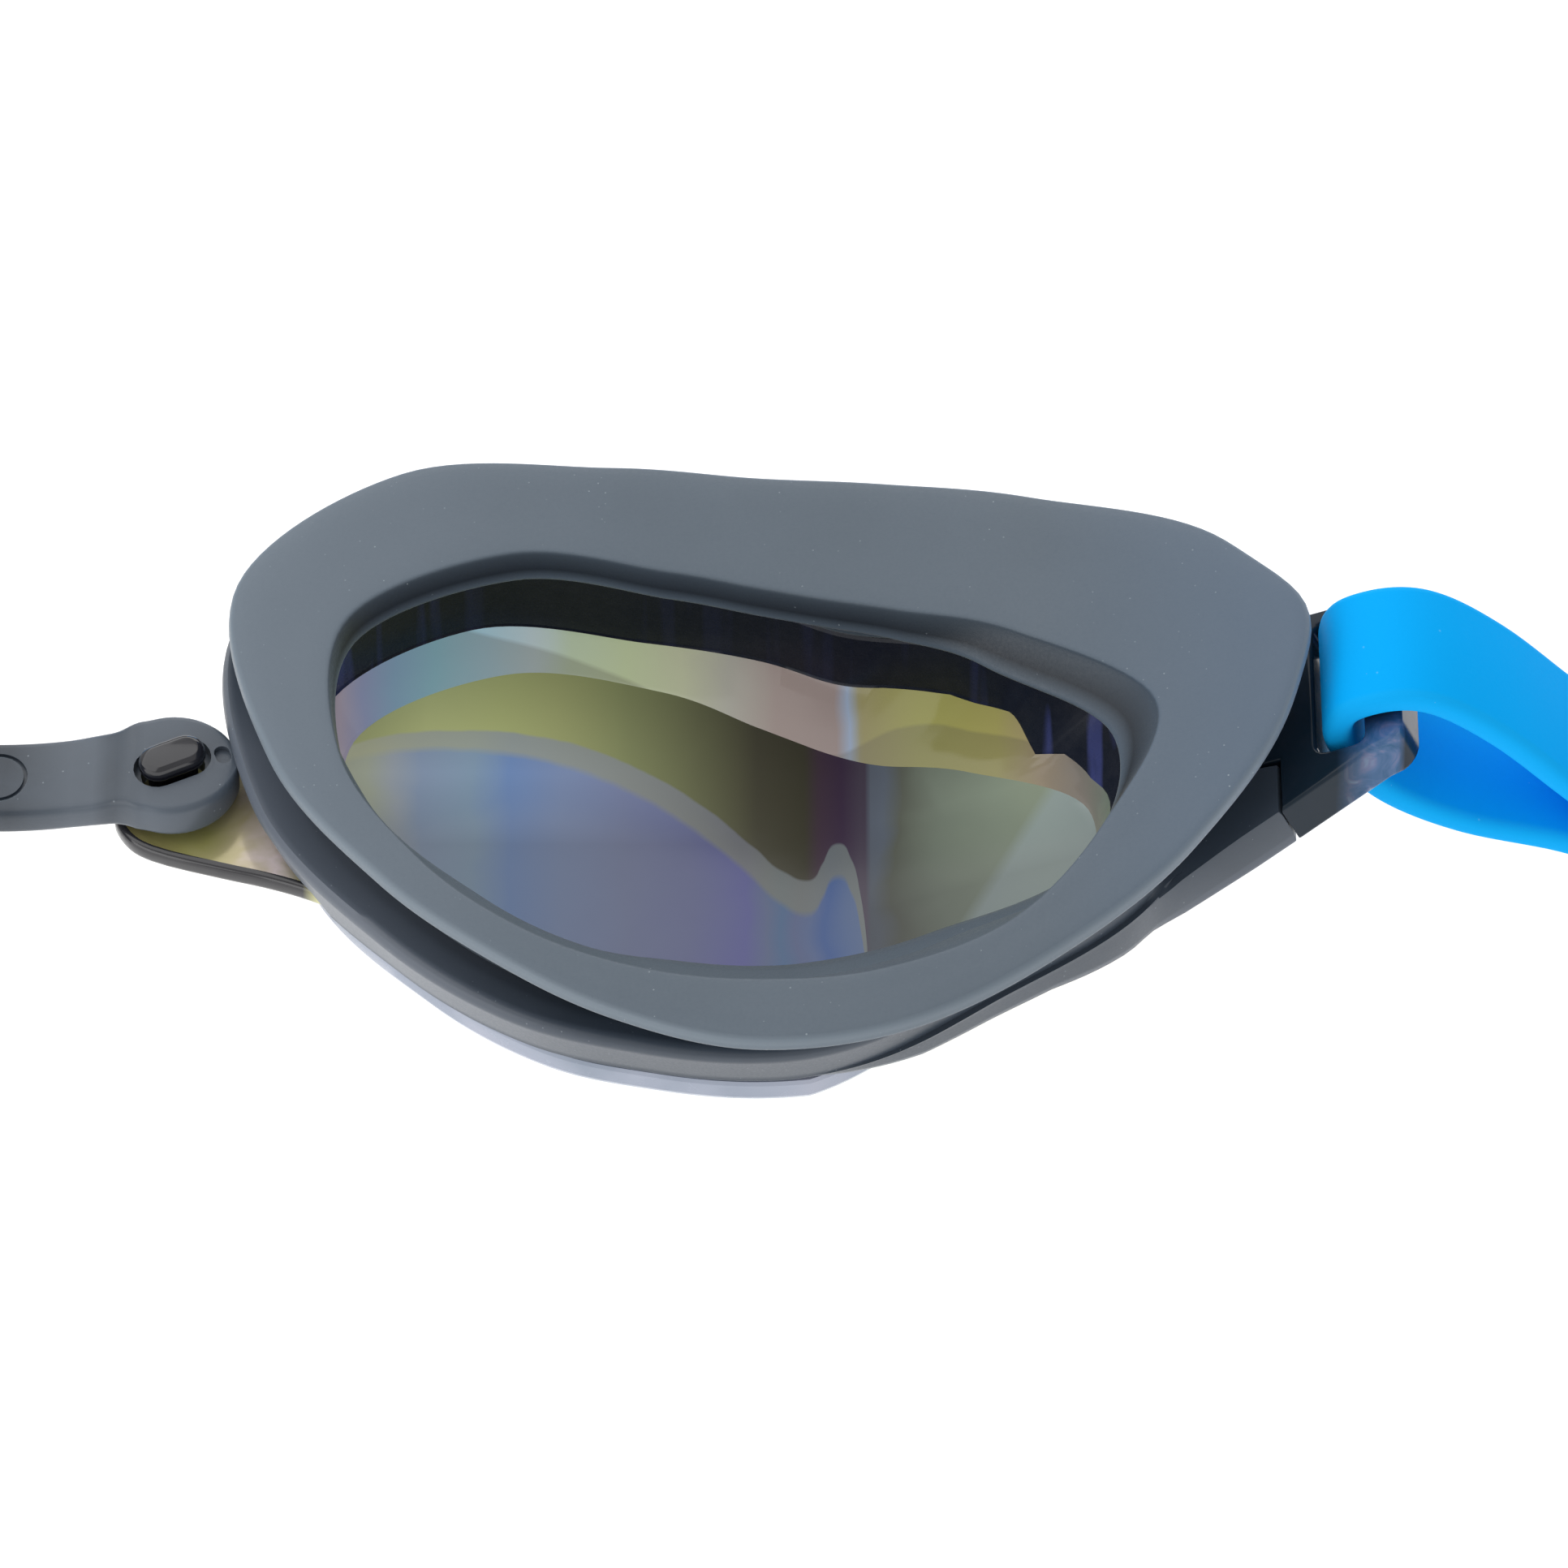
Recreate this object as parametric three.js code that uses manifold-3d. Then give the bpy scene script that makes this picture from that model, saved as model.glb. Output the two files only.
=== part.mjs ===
// Swim goggles of the racing kind, lying on their lens fronts with the face seals up and the strap laid out behind.
//
// Frame: millimetres, +Z up. +X is the wearer's right, +Y is the brow side, +Z points from the lenses to the face.
// While the cups are being made, x = 0 is the nose and y = 0 is the line through the nose pegs and the strap slots.
// At the end the whole group moves along Y, so that the origin is the bottom centre of the object's box.
//
// Each cup is a mirrored lens with a nose ear and a strap loop moulded on, a rigid frame clipped round the lens wall,
// and a silicone seal on the frame. A soft bridge joins the cups over two pegs. The strap goes through both loops and
// folds back, so two runs of it go round to a clip at the back, where the inner run's ends pass each other.

import * as THREE from "three";
import { mergeVertices } from "three/addons/utils/BufferGeometryUtils.js";
import Module from "manifold-3d";

const wasm = await Module();
wasm.setup();

// ---- Driving dimensions, in mm ----

const TOLERANCE = 0.02; // for merging slivers of the finished solids
const RING_STEPS = 44; // points round every outline of a cup
const CUP_CENTRE = { x: 41, y: -3.5 };
const CUP_NOSE_X = 12.5;
const CUP_WIDTH = 57.6;

// Outlines of a cup, as radii about its centre at 16 even angles, from the temple round by the brow.
const SEAL_OUTER = [29.5, 27.8, 21.3, 18.2, 17.9, 20.8, 27.3, 30.4, 26.0, 21.7, 19.5, 19.3, 20.3, 21.3, 22.4, 25.0];
const SEAL_OPENING = [21.1, 14.8, 10.9, 9.6, 10.0, 12.4, 18.7, 23.7, 22.2, 19.2, 17.2, 16.2, 16.2, 17.4, 19.1, 19.9];
const BAND = [25.5, 21.2, 17.2, 15.6, 16.7, 19.3, 25.5, 29.0, 24.5, 19.5, 16.6, 14.6, 14.1, 14.6, 16.8, 22.2];
const PANE = [19.5, 12.5, 9.7, 9.2, 10.2, 13.7, 19.6, 23.9, 21.1, 16.1, 13.2, 11.2, 10.7, 11.2, 13.3, 17.4];

// The lens has a flat front pane, and past the crease a side pane that rises towards the temple.
const CREASE_X = 46;
const CREASE_BLEND = 4; // half the width over which the walls above the crease turn
const SIDE_ANGLE = THREE.MathUtils.degToRad(24);
const SIDE_SLOPE = Math.tan(SIDE_ANGLE);

const PLATE_THICKNESS = 1.6;
const PANE_THICKNESS = 2.1;
const PLATE_INSET = 0.4; // all insets are from the band's outline
const WALL_OUTER_INSET = 2.0;
const WALL_INNER_INSET = 3.3;
const FACET_HEIGHT = 3.8;
const FIT_GAP = 0.4;
const LOW = -20; // levels well below and well above a cup
const HIGH = 40;
const REACH = 100; // longer than a cup

const BAND_BOTTOM_INSET = 0.2;
const BAND_TOP_INSET = 0.5;

const SEAL_NOSE_HEIGHT = 13;
const SEAL_TEMPLE_RISE = 6;
const WALL_HEIGHT = 7.7; // at the level of the pegs
const WALL_BROW_SLOPE = 0.08;
const WALL_TEMPLE_SHARE = 0.7;

// The seal's section, from its base on the frame, up its neck, round its rim and down into the cup.
const SEAL_BASE = { inset: 0.5, height: 0.9 };
const SEAL_NECK = { inset: 1.7, height: 1.5 };
const SEAL_RIM = { underShare: 0.75, underDrop: 2.0, outerDrop: 1.5, topInset: 0.1, topDrop: 0.5 };
const SEAL_CREST_SHARE = 0.45; // the highest line, as a share of the way from the rim to the opening
const SEAL_ROLL = { width: 0.7, drop: 0.2, openingDrop: 1.0, lowShare: 0.6 };

const PEG_X = 9.5;
const PEG = { length: 2.9, width: 1.9, headLength: 3.5, headWidth: 2.5, neckTop: 8.05, top: 9.0 };
const OVERLAP = 0.5; // how far pieces that are joined into one run into each other
const ROUND_STEPS = { peg: 6, plate: 8, eyelet: 14, clip: 5 }; // segments of one curve
const EAR = { bottom: 2.2, top: 4.7, tipRadius: 2.8, rootX: 21, rootHalfWidth: 5.2 };

const BRIDGE = { ringRadius: 3.3, holeLength: 3.8, holeWidth: 2.8, bottom: 5.4, top: 7.5 };
const BRIDGE_BAND = { width: 4.1, sag: 1.3, reach: 7.2, steps: 12 };

// The strap loop and the frame's wing are plates in the side pane's own plane. In their plans, x is the distance
// up the slope from the crease, and y is the same as everywhere else.
const SIDE_PLATE = { bottom: 0.3, top: 3.2 };
const LOOP = { start: 26.4, end: 33.4, nearStart: -8.1, nearEnd: -5.3, far: 4.7, corner: 1.6 };
const SLOT = { start: 28.5, end: 31.25, near: -4.9, far: 3.7, corner: 0.6 };
const TONGUE = { start: 17, near: -4.6, far: 3.4, roomCorner: 0.3 };
const WING = { start: 12, end: 26, nearStart: -13.7, nearEnd: -8.2, far: 4.7 };

const STRAP_WIDTH = 7.8;
const STRAP_THICKNESS = 1.6;
const STRAP_Y = -0.6; // middle of the strap where it goes through the loops
const RUN_SPACING = 2.6;
const TABLE_GAP = 0.1;
const SWING_X = 93;
const SWING_Z = TABLE_GAP + (RUN_SPACING + STRAP_THICKNESS) / 2;

const CLIP = { length: 16, width: 10, height: 10.6, corner: 2.2 };
const CLIP_CHANNEL = { width: 2.2, height: 8.4, corner: 0.2 };

// ---- Materials ----

const silicone = new THREE.MeshStandardMaterial({ color: 0x5f6b75, roughness: 0.55, metalness: 0 });
const frameGrey = new THREE.MeshStandardMaterial({ color: 0x4d5459, roughness: 0.35, metalness: 0 });
const mirrorTint = new THREE.MeshStandardMaterial({ color: 0x55584f, roughness: 0.06, metalness: 0.7 });
const bridgeGrey = new THREE.MeshStandardMaterial({ color: 0x39444c, roughness: 0.4, metalness: 0 });
const strapBlue = new THREE.MeshStandardMaterial({ color: 0x00a8f3, roughness: 0.45, metalness: 0 });
const clipGrey = new THREE.MeshStandardMaterial({ color: 0x2f363b, roughness: 0.35, metalness: 0 });

// ---- Surfaces and outlines of a cup ----

// How far the side pane has risen at x, from 0 over the front pane, rounded off at the crease.
function lift(x) {
  const past = x - CREASE_X;
  if (past <= -CREASE_BLEND) return 0;
  if (past >= CREASE_BLEND) return past * SIDE_SLOPE;
  return (SIDE_SLOPE * (past + CREASE_BLEND) ** 2) / (4 * CREASE_BLEND);
}

// Height of the top of the lens wall and the frame.
function wallTop(x, y) {
  return WALL_HEIGHT + WALL_TEMPLE_SHARE * lift(x) + WALL_BROW_SLOPE * y;
}

// Height of the seal's face: it rises towards the temple, as a face curves back.
function sealHeight(x) {
  const across = (x - CUP_NOSE_X) / CUP_WIDTH;
  return SEAL_NOSE_HEIGHT + SEAL_TEMPLE_RISE * across * across;
}

function inset(radii, amount) {
  return radii.map((r) => r - amount);
}

function between(radiiA, radiiB, share) {
  return radiiA.map((r, i) => r + (radiiB[i] - r) * share);
}

// One closed ring of points on an outline, at the height that heightOf(x, y) gives.
function ring(radii, heightOf) {
  const corners = radii.map((r, i) => {
    const angle = (2 * Math.PI * i) / radii.length;
    return new THREE.Vector3(CUP_CENTRE.x + r * Math.cos(angle), CUP_CENTRE.y + r * Math.sin(angle), 0);
  });
  const curve = new THREE.CatmullRomCurve3(corners, true, "catmullrom", 0.5);
  return Array.from({ length: RING_STEPS }, (_, i) => {
    const p = curve.getPoint(i / RING_STEPS);
    return p.setZ(heightOf(p.x, p.y));
  });
}

// ---- Solids ----

function geometryOf(points, triangles) {
  const geometry = new THREE.BufferGeometry();
  geometry.setAttribute("position", new THREE.Float32BufferAttribute(points.flatMap((p) => [p.x, p.y, p.z]), 3));
  geometry.setIndex(triangles);
  return geometry;
}

// Skin over rings of equal length. With wrap, the last ring joins the first and the solid is a closed hoop.
// Without it, the first and last rings are closed by a fan, which suits rings that bulge round their middle.
function loft(rings, wrap) {
  const count = rings[0].length;
  const points = rings.flat();
  const triangles = [];
  const pairs = wrap ? rings.length : rings.length - 1;
  for (let j = 0; j < pairs; j++) {
    const a = j * count;
    const b = ((j + 1) % rings.length) * count;
    for (let i = 0; i < count; i++) {
      const next = (i + 1) % count;
      triangles.push(a + i, a + next, b + next, a + i, b + next, b + i);
    }
  }
  if (!wrap) {
    const fan = (start, flip) => {
      const middle = new THREE.Vector3();
      for (let i = 0; i < count; i++) middle.addScaledVector(points[start + i], 1 / count);
      const hub = points.push(middle) - 1;
      for (let i = 0; i < count; i++) {
        const here = start + i;
        const next = start + ((i + 1) % count);
        triangles.push(...(flip ? [hub, next, here] : [hub, here, next]));
      }
    };
    fan(0, true);
    fan((rings.length - 1) * count, false);
  }
  return geometryOf(points, triangles);
}

// A closed geometry as a manifold-3d solid, turned right side out if its faces point inwards.
function solid(geometry) {
  const bare = new THREE.BufferGeometry();
  const source = geometry.index ? geometry.toNonIndexed() : geometry;
  bare.setAttribute("position", source.getAttribute("position"));
  const merged = mergeVertices(bare, 1e-4);
  const triVerts = new Uint32Array(merged.index.array);
  const make = () =>
    new wasm.Manifold(new wasm.Mesh({ numProp: 3, vertProperties: merged.attributes.position.array, triVerts }));
  const made = make();
  if (made.volume() > 0) return made;
  for (let i = 0; i < triVerts.length; i += 3) {
    [triVerts[i + 1], triVerts[i + 2]] = [triVerts[i + 2], triVerts[i + 1]];
  }
  return make();
}

// The solid's surface, without the slivers that joining and cutting leave.
function geometryFrom(manifold) {
  const mesh = manifold.asOriginal().simplify(TOLERANCE).getMesh();
  const geometry = new THREE.BufferGeometry();
  geometry.setAttribute("position", new THREE.BufferAttribute(new Float32Array(mesh.vertProperties), 3));
  geometry.setIndex(new THREE.BufferAttribute(new Uint32Array(mesh.triVerts), 1));
  geometry.computeVertexNormals();
  return geometry;
}

// Everything over an outline, between levels well below and well above the cup.
function column(radii) {
  return solid(loft([ring(radii, () => LOW), ring(radii, () => HIGH)], false));
}

// Everything less than a given depth inside the lens's outer face, and all that is outside it.
function ground(depth) {
  const under = () => new THREE.BoxGeometry(2 * REACH, 2 * REACH, 2 * REACH).translate(0, 0, depth - REACH);
  const front = under().translate(CREASE_X, 0, 0);
  const side = under().rotateY(-SIDE_ANGLE).translate(CREASE_X, 0, 0);
  return solid(front).add(solid(side));
}

// A flat plate: a plan shape extruded from z = bottom to z = top.
function plate(shape, bottom, top, curveSegments = ROUND_STEPS.plate) {
  const geometry = new THREE.ExtrudeGeometry(shape, { depth: top - bottom, bevelEnabled: false, curveSegments });
  return geometry.translate(0, 0, bottom);
}

// The same plate, laid in the plane of the side pane, with its x measured up the slope from the crease.
function slopedPlate(shape, bottom, top) {
  return plate(shape, bottom, top).rotateY(-SIDE_ANGLE).translate(CREASE_X, 0, 0);
}

function roundedRectangle(x0, x1, y0, y1, radius, path = new THREE.Shape()) {
  path.moveTo(x0 + radius, y0);
  path.lineTo(x1 - radius, y0);
  path.absarc(x1 - radius, y0 + radius, radius, -Math.PI / 2, 0, false);
  path.lineTo(x1, y1 - radius);
  path.absarc(x1 - radius, y1 - radius, radius, 0, Math.PI / 2, false);
  path.lineTo(x0 + radius, y1);
  path.absarc(x0 + radius, y1 - radius, radius, Math.PI / 2, Math.PI, false);
  path.lineTo(x0, y0 + radius);
  path.absarc(x0 + radius, y0 + radius, radius, Math.PI, 1.5 * Math.PI, false);
  return path;
}

// A slot shape with round ends, along X.
function oblong(centreX, length, width, path) {
  const half = length / 2;
  return roundedRectangle(centreX - half, centreX + half, -width / 2, width / 2, width / 2 - 0.01, path);
}

// ---- Lens ----

// The lens as one bowl: front plate, wall, and inside the wall a slanting facet down to the pane.
function lensBowl() {
  const wallOuter = inset(BAND, WALL_OUTER_INSET);
  const wallInner = inset(BAND, WALL_INNER_INSET);
  const frontPlate = column(inset(BAND, PLATE_INSET)).intersect(ground(PLATE_THICKNESS));
  const wallBlock = loft([ring(wallOuter, () => LOW), ring(wallOuter, wallTop), ring(PANE, wallTop)], false);
  const hollow = loft(
    [
      ring(PANE, () => LOW),
      ring(PANE, (x) => lift(x) + PANE_THICKNESS),
      ring(wallInner, (x) => lift(x) + FACET_HEIGHT),
      ring(wallInner, () => HIGH),
    ],
    false,
  );
  const eyeSpace = solid(hollow).subtract(ground(PANE_THICKNESS));
  return frontPlate.add(solid(wallBlock)).subtract(ground(0)).subtract(eyeSpace);
}

// Plan of the ear that carries the peg: a round tip, widening to its root in the lens.
function earShape(grow = 0) {
  const radius = EAR.tipRadius + grow;
  const shape = new THREE.Shape();
  shape.moveTo(EAR.rootX, -EAR.rootHalfWidth - grow);
  shape.lineTo(EAR.rootX, EAR.rootHalfWidth + grow);
  shape.lineTo(PEG_X, radius);
  shape.absarc(PEG_X, 0, radius, Math.PI / 2, 1.5 * Math.PI, false);
  return shape;
}

function nosePeg() {
  const neckShape = oblong(PEG_X, PEG.length, PEG.width);
  const headShape = oblong(PEG_X, PEG.headLength, PEG.headWidth);
  const neck = plate(neckShape, EAR.top - OVERLAP, PEG.neckTop + OVERLAP / 2, ROUND_STEPS.peg);
  const head = plate(headShape, PEG.neckTop, PEG.top, ROUND_STEPS.peg);
  return solid(neck).add(solid(head));
}

// The strap loop, and the tongue that ties it to the lens wall.
function strapLoop() {
  const outline = new THREE.Shape();
  outline.moveTo(TONGUE.start, TONGUE.near);
  outline.lineTo(LOOP.start, TONGUE.near);
  outline.lineTo(LOOP.start, LOOP.nearStart);
  outline.lineTo(LOOP.end - LOOP.corner, LOOP.nearEnd);
  outline.quadraticCurveTo(LOOP.end, LOOP.nearEnd + LOOP.corner / 2, LOOP.end, LOOP.nearEnd + 2 * LOOP.corner);
  outline.lineTo(LOOP.end, LOOP.far - 2 * LOOP.corner);
  outline.quadraticCurveTo(LOOP.end, LOOP.far, LOOP.end - 2 * LOOP.corner, LOOP.far);
  outline.lineTo(LOOP.start, LOOP.far);
  outline.lineTo(LOOP.start, TONGUE.far);
  outline.lineTo(TONGUE.start, TONGUE.far);
  outline.holes.push(roundedRectangle(SLOT.start, SLOT.end, SLOT.near, SLOT.far, SLOT.corner, new THREE.Path()));
  return solid(slopedPlate(outline, SIDE_PLATE.bottom, SIDE_PLATE.top));
}

// The lens with its ear, peg and strap loop, which stop in the middle of its wall.
function lensSolid() {
  const inside = column(inset(BAND, (WALL_OUTER_INSET + WALL_INNER_INSET) / 2));
  const ear = solid(plate(earShape(), EAR.bottom, EAR.top));
  return lensBowl().add(ear.add(strapLoop()).subtract(inside)).add(nosePeg());
}

// ---- Frame ----

// Plan of the wing that carries the frame's sides out to the strap loop.
function wingShape() {
  const shape = new THREE.Shape();
  shape.moveTo(WING.start, WING.nearStart);
  shape.lineTo(WING.end, WING.nearEnd);
  shape.lineTo(WING.end, WING.far);
  shape.lineTo(WING.start, WING.far);
  return shape;
}

function frameSolid() {
  const bottom = (x) => lift(x) + PLATE_THICKNESS + FIT_GAP;
  const wallOutline = inset(BAND, WALL_OUTER_INSET - FIT_GAP);
  const belly = (x, y) => (bottom(x) + wallTop(x, y)) / 2;
  const hoop = solid(
    loft(
      [
        ring(wallOutline, bottom),
        ring(inset(BAND, BAND_BOTTOM_INSET), bottom),
        ring(BAND, belly),
        ring(inset(BAND, BAND_TOP_INSET), wallTop),
        ring(wallOutline, wallTop),
      ],
      true,
    ),
  );
  const lensRoom = column(wallOutline);
  const frontPlateRoom = column(inset(BAND, PLATE_INSET - FIT_GAP)).intersect(ground(PLATE_THICKNESS + FIT_GAP));
  const wing = solid(slopedPlate(wingShape(), SIDE_PLATE.bottom, SIDE_PLATE.top));
  const tongue = roundedRectangle(
    TONGUE.start - 1,
    WING.end + 1,
    TONGUE.near - FIT_GAP,
    TONGUE.far + FIT_GAP,
    TONGUE.roomCorner,
  );
  return hoop
    .add(wing.subtract(lensRoom).subtract(frontPlateRoom))
    .subtract(solid(slopedPlate(tongue, SIDE_PLATE.bottom - FIT_GAP, SIDE_PLATE.top + FIT_GAP)))
    .subtract(solid(plate(earShape(FIT_GAP), EAR.bottom - FIT_GAP, EAR.top + FIT_GAP)));
}

// ---- Seal ----

function sealSolid() {
  const base = (x, y) => wallTop(x, y) + FIT_GAP;
  const face = (drop) => (x) => sealHeight(x) - drop;
  const wallInner = inset(BAND, WALL_INNER_INSET);
  const neck = inset(BAND, SEAL_NECK.inset);
  const halfway = (x, y) => (wallTop(x, y) + sealHeight(x)) / 2;
  const hoop = loft(
    [
      ring(wallInner, base),
      ring(inset(BAND, SEAL_BASE.inset), base),
      ring(inset(BAND, SEAL_BASE.inset), (x, y) => base(x, y) + SEAL_BASE.height),
      ring(neck, (x, y) => base(x, y) + SEAL_NECK.height),
      ring(between(neck, SEAL_OUTER, SEAL_RIM.underShare), face(SEAL_RIM.underDrop)),
      ring(SEAL_OUTER, face(SEAL_RIM.outerDrop)),
      ring(inset(SEAL_OUTER, SEAL_RIM.topInset), face(SEAL_RIM.topDrop)),
      ring(between(SEAL_OUTER, SEAL_OPENING, SEAL_CREST_SHARE), face(0)),
      ring(inset(SEAL_OPENING, -SEAL_ROLL.width), face(SEAL_ROLL.drop)),
      ring(SEAL_OPENING, face(SEAL_ROLL.openingDrop)),
      ring(between(SEAL_OPENING, wallInner, SEAL_ROLL.lowShare), halfway),
    ],
    true,
  );
  const room = slopedPlate(sidePlateRoom(), 0, SIDE_PLATE.top + FIT_GAP);
  return solid(hoop).subtract(solid(room));
}

// Room for the wing and the strap loop where they pass under the seal.
function sidePlateRoom() {
  const shape = new THREE.Shape();
  shape.moveTo(WING.start, WING.nearStart);
  shape.lineTo(LOOP.end, LOOP.nearEnd);
  shape.lineTo(LOOP.end, LOOP.far + FIT_GAP);
  shape.lineTo(WING.start, LOOP.far + FIT_GAP);
  return shape;
}

// ---- Nose bridge ----

function bridgeSolid() {
  const thickness = BRIDGE.top - BRIDGE.bottom;
  const level = (BRIDGE.top + BRIDGE.bottom) / 2;
  const sections = Array.from({ length: BRIDGE_BAND.steps + 1 }, (_, i) => {
    const x = BRIDGE_BAND.reach * ((2 * i) / BRIDGE_BAND.steps - 1);
    const z = level - BRIDGE_BAND.sag * (1 - (x / BRIDGE_BAND.reach) ** 2);
    return rectangle(
      new THREE.Vector3(x, 0, z),
      new THREE.Vector3(0, 1, 0),
      new THREE.Vector3(0, 0, 1),
      BRIDGE_BAND.width,
      thickness,
    );
  });
  let made = solid(loft(sections, false));
  for (const side of [-1, 1]) {
    const outline = new THREE.Shape();
    outline.absarc(side * PEG_X, 0, BRIDGE.ringRadius, 0, 2 * Math.PI, false);
    made = made.add(solid(plate(outline, BRIDGE.bottom, BRIDGE.top, ROUND_STEPS.eyelet)));
  }
  for (const side of [-1, 1]) {
    const hole = oblong(side * PEG_X, BRIDGE.holeLength, BRIDGE.holeWidth);
    made = made.subtract(solid(plate(hole, LOW, HIGH, ROUND_STEPS.peg)));
  }
  return made;
}

// ---- Strap ----

// Four corners of a band's section, across its width and through its thickness.
function rectangle(centre, across, through, width, thickness) {
  const corner = (a, b) =>
    centre.clone().addScaledVector(across, (a * width) / 2).addScaledVector(through, (b * thickness) / 2);
  return [corner(-1, -1), corner(1, -1), corner(1, 1), corner(-1, 1)];
}

// The strap where it folds through the loop, seen along Y: (x, z) from the end of the lower run, round the
// loop's outer bar, to the end of the upper run.
const FOLD = [
  [SWING_X - FIT_GAP, SWING_Z - RUN_SPACING / 2],
  [90.3, 1.7],
  [87.6, 4.1],
  [84.6, 6.1],
  [79.2, 7.9],
  [75.8, 9.6],
  [73.9, 11.1],
  [72.6, 13.2],
  [71.9, 15.2],
  [72.3, 16.8],
  [74.0, 17.8],
  [75.8, 18.0],
  [77.5, 17.4],
  [80.6, 14.9],
  [84.5, 10.5],
  [87.7, 6.9],
  [90.4, 4.5],
  [SWING_X - FIT_GAP, SWING_Z + RUN_SPACING / 2],
];
const FOLD_STEPS = 34;

function strapFold() {
  const corners = FOLD.map(([x, z]) => new THREE.Vector3(x, STRAP_Y, z));
  const curve = new THREE.CatmullRomCurve3(corners, false, "centripetal");
  const across = new THREE.Vector3(0, 1, 0);
  const sections = Array.from({ length: FOLD_STEPS + 1 }, (_, i) => {
    const along = curve.getPoint(i / FOLD_STEPS);
    const atEnd = i === 0 || i === FOLD_STEPS;
    const tangent = atEnd ? new THREE.Vector3(i ? 1 : -1, 0, 0) : curve.getTangent(i / FOLD_STEPS);
    const through = new THREE.Vector3().crossVectors(tangent, across).normalize();
    return rectangle(along, across, through, STRAP_WIDTH, STRAP_THICKNESS);
  });
  return solid(loft(sections, false));
}

// Centre line of the two runs from the right loop to the back of the strap: (x, y).
const STRAP_PATH = [
  [SWING_X, STRAP_Y],
  [98, STRAP_Y + 0.2],
  [103, 0.8],
  [109, 4.2],
  [115.5, 10.5],
  [120.3, 19],
  [122, 31],
  [119.5, 44],
  [112.5, 56],
  [101, 65],
  [86, 70.5],
  [70, 71.9],
  [50, 72],
  [20, 72],
  [0, 72],
];
const BACK_Y = 72;
const BACK_Z = CLIP.height / 2;
const TWIST_LENGTH = 26; // over this length a run turns from flat to standing on its edge
const TWIST_STEP = 1.3;
const RUN_STEP = 4.5;
const RISE = { start: 110, end: 50 }; // where the runs rise to the clip's middle, as distances from the middle plane
const TAIL_END_X = -31;
const TAIL_SHIFT = { start: 78, end: 50 };

// The runs' centre line, flat, over both sides: from the right loop (u = 0) to the left loop (u = 1).
function strapCurve() {
  const right = STRAP_PATH.map(([x, y]) => new THREE.Vector3(x, y, 0));
  const left = STRAP_PATH.slice(0, -1)
    .reverse()
    .map(([x, y]) => new THREE.Vector3(-x, y, 0));
  return new THREE.CatmullRomCurve3([...right, ...left], false, "centripetal");
}

// Height at which the pair of runs rests on the table when it's turned by an angle from flat towards its edge,
// and then rises to the clip's middle at the back.
function runHeight(turned, x) {
  const stack = (RUN_SPACING + STRAP_THICKNESS) / 2;
  const resting = TABLE_GAP + (STRAP_WIDTH / 2) * Math.sin(turned) + stack * Math.cos(turned);
  const atBack = 1 - THREE.MathUtils.smoothstep(Math.abs(x), RISE.end, RISE.start);
  const onEdge = TABLE_GAP + STRAP_WIDTH / 2;
  return resting + (BACK_Z - onEdge) * atBack;
}

// Distances along the run of its sections, close together where it twists.
function runStations(length) {
  const side = [];
  for (let d = 0; d < TWIST_LENGTH + RUN_STEP; d += TWIST_STEP) side.push(d);
  for (let d = side[side.length - 1] + RUN_STEP; d < (length - RUN_STEP) / 2; d += RUN_STEP) side.push(d);
  return [...side, length / 2, ...side.map((d) => length - d).reverse()];
}

// Sections of one run. offset is how far the run lies outside the centre line, and may change along it.
// keep(point) is false past the run's end.
function runSections(offsetAt, keep) {
  const curve = strapCurve();
  const length = curve.getLength();
  const up = new THREE.Vector3(0, 0, 1);
  const sections = [];
  for (const station of runStations(length)) {
    const point = curve.getPointAt(station / length);
    if (!keep(point)) continue;
    const fromLoop = Math.min(station, length - station);
    const atLoop = fromLoop < TOLERANCE;
    const tangent = atLoop ? new THREE.Vector3(1, 0, 0) : curve.getTangentAt(station / length).setZ(0).normalize();
    const outward = new THREE.Vector3().crossVectors(tangent, up);
    const turned = (Math.PI / 2) * THREE.MathUtils.smoothstep(fromLoop, 0, TWIST_LENGTH);
    const through = up.clone().multiplyScalar(Math.cos(turned)).addScaledVector(outward, Math.sin(turned));
    const along = new THREE.Vector3().crossVectors(outward, up);
    const across = new THREE.Vector3().crossVectors(through, along).normalize();
    const centre = point.setZ(runHeight(turned, point.x)).addScaledVector(through, offsetAt(point));
    sections.push(rectangle(centre, across, through, STRAP_WIDTH, STRAP_THICKNESS));
  }
  return sections;
}

function outerRun() {
  return solid(loft(runSections(() => RUN_SPACING / 2, () => true), false));
}

function innerRunRight() {
  return solid(loft(runSections(() => -RUN_SPACING / 2, (p) => p.x > TAIL_END_X), false));
}

// On the left the inner run moves one run further in before the clip, to pass beside the other one's tail.
function innerRunLeft() {
  const offset = (p) => {
    const shifted = 1 - THREE.MathUtils.smoothstep(-p.x, TAIL_SHIFT.end, TAIL_SHIFT.start);
    return -RUN_SPACING / 2 - (p.y > BACK_Y / 2 ? RUN_SPACING * shifted : 0);
  };
  return solid(loft(runSections(offset, (p) => p.x < -TAIL_END_X), false));
}

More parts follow.
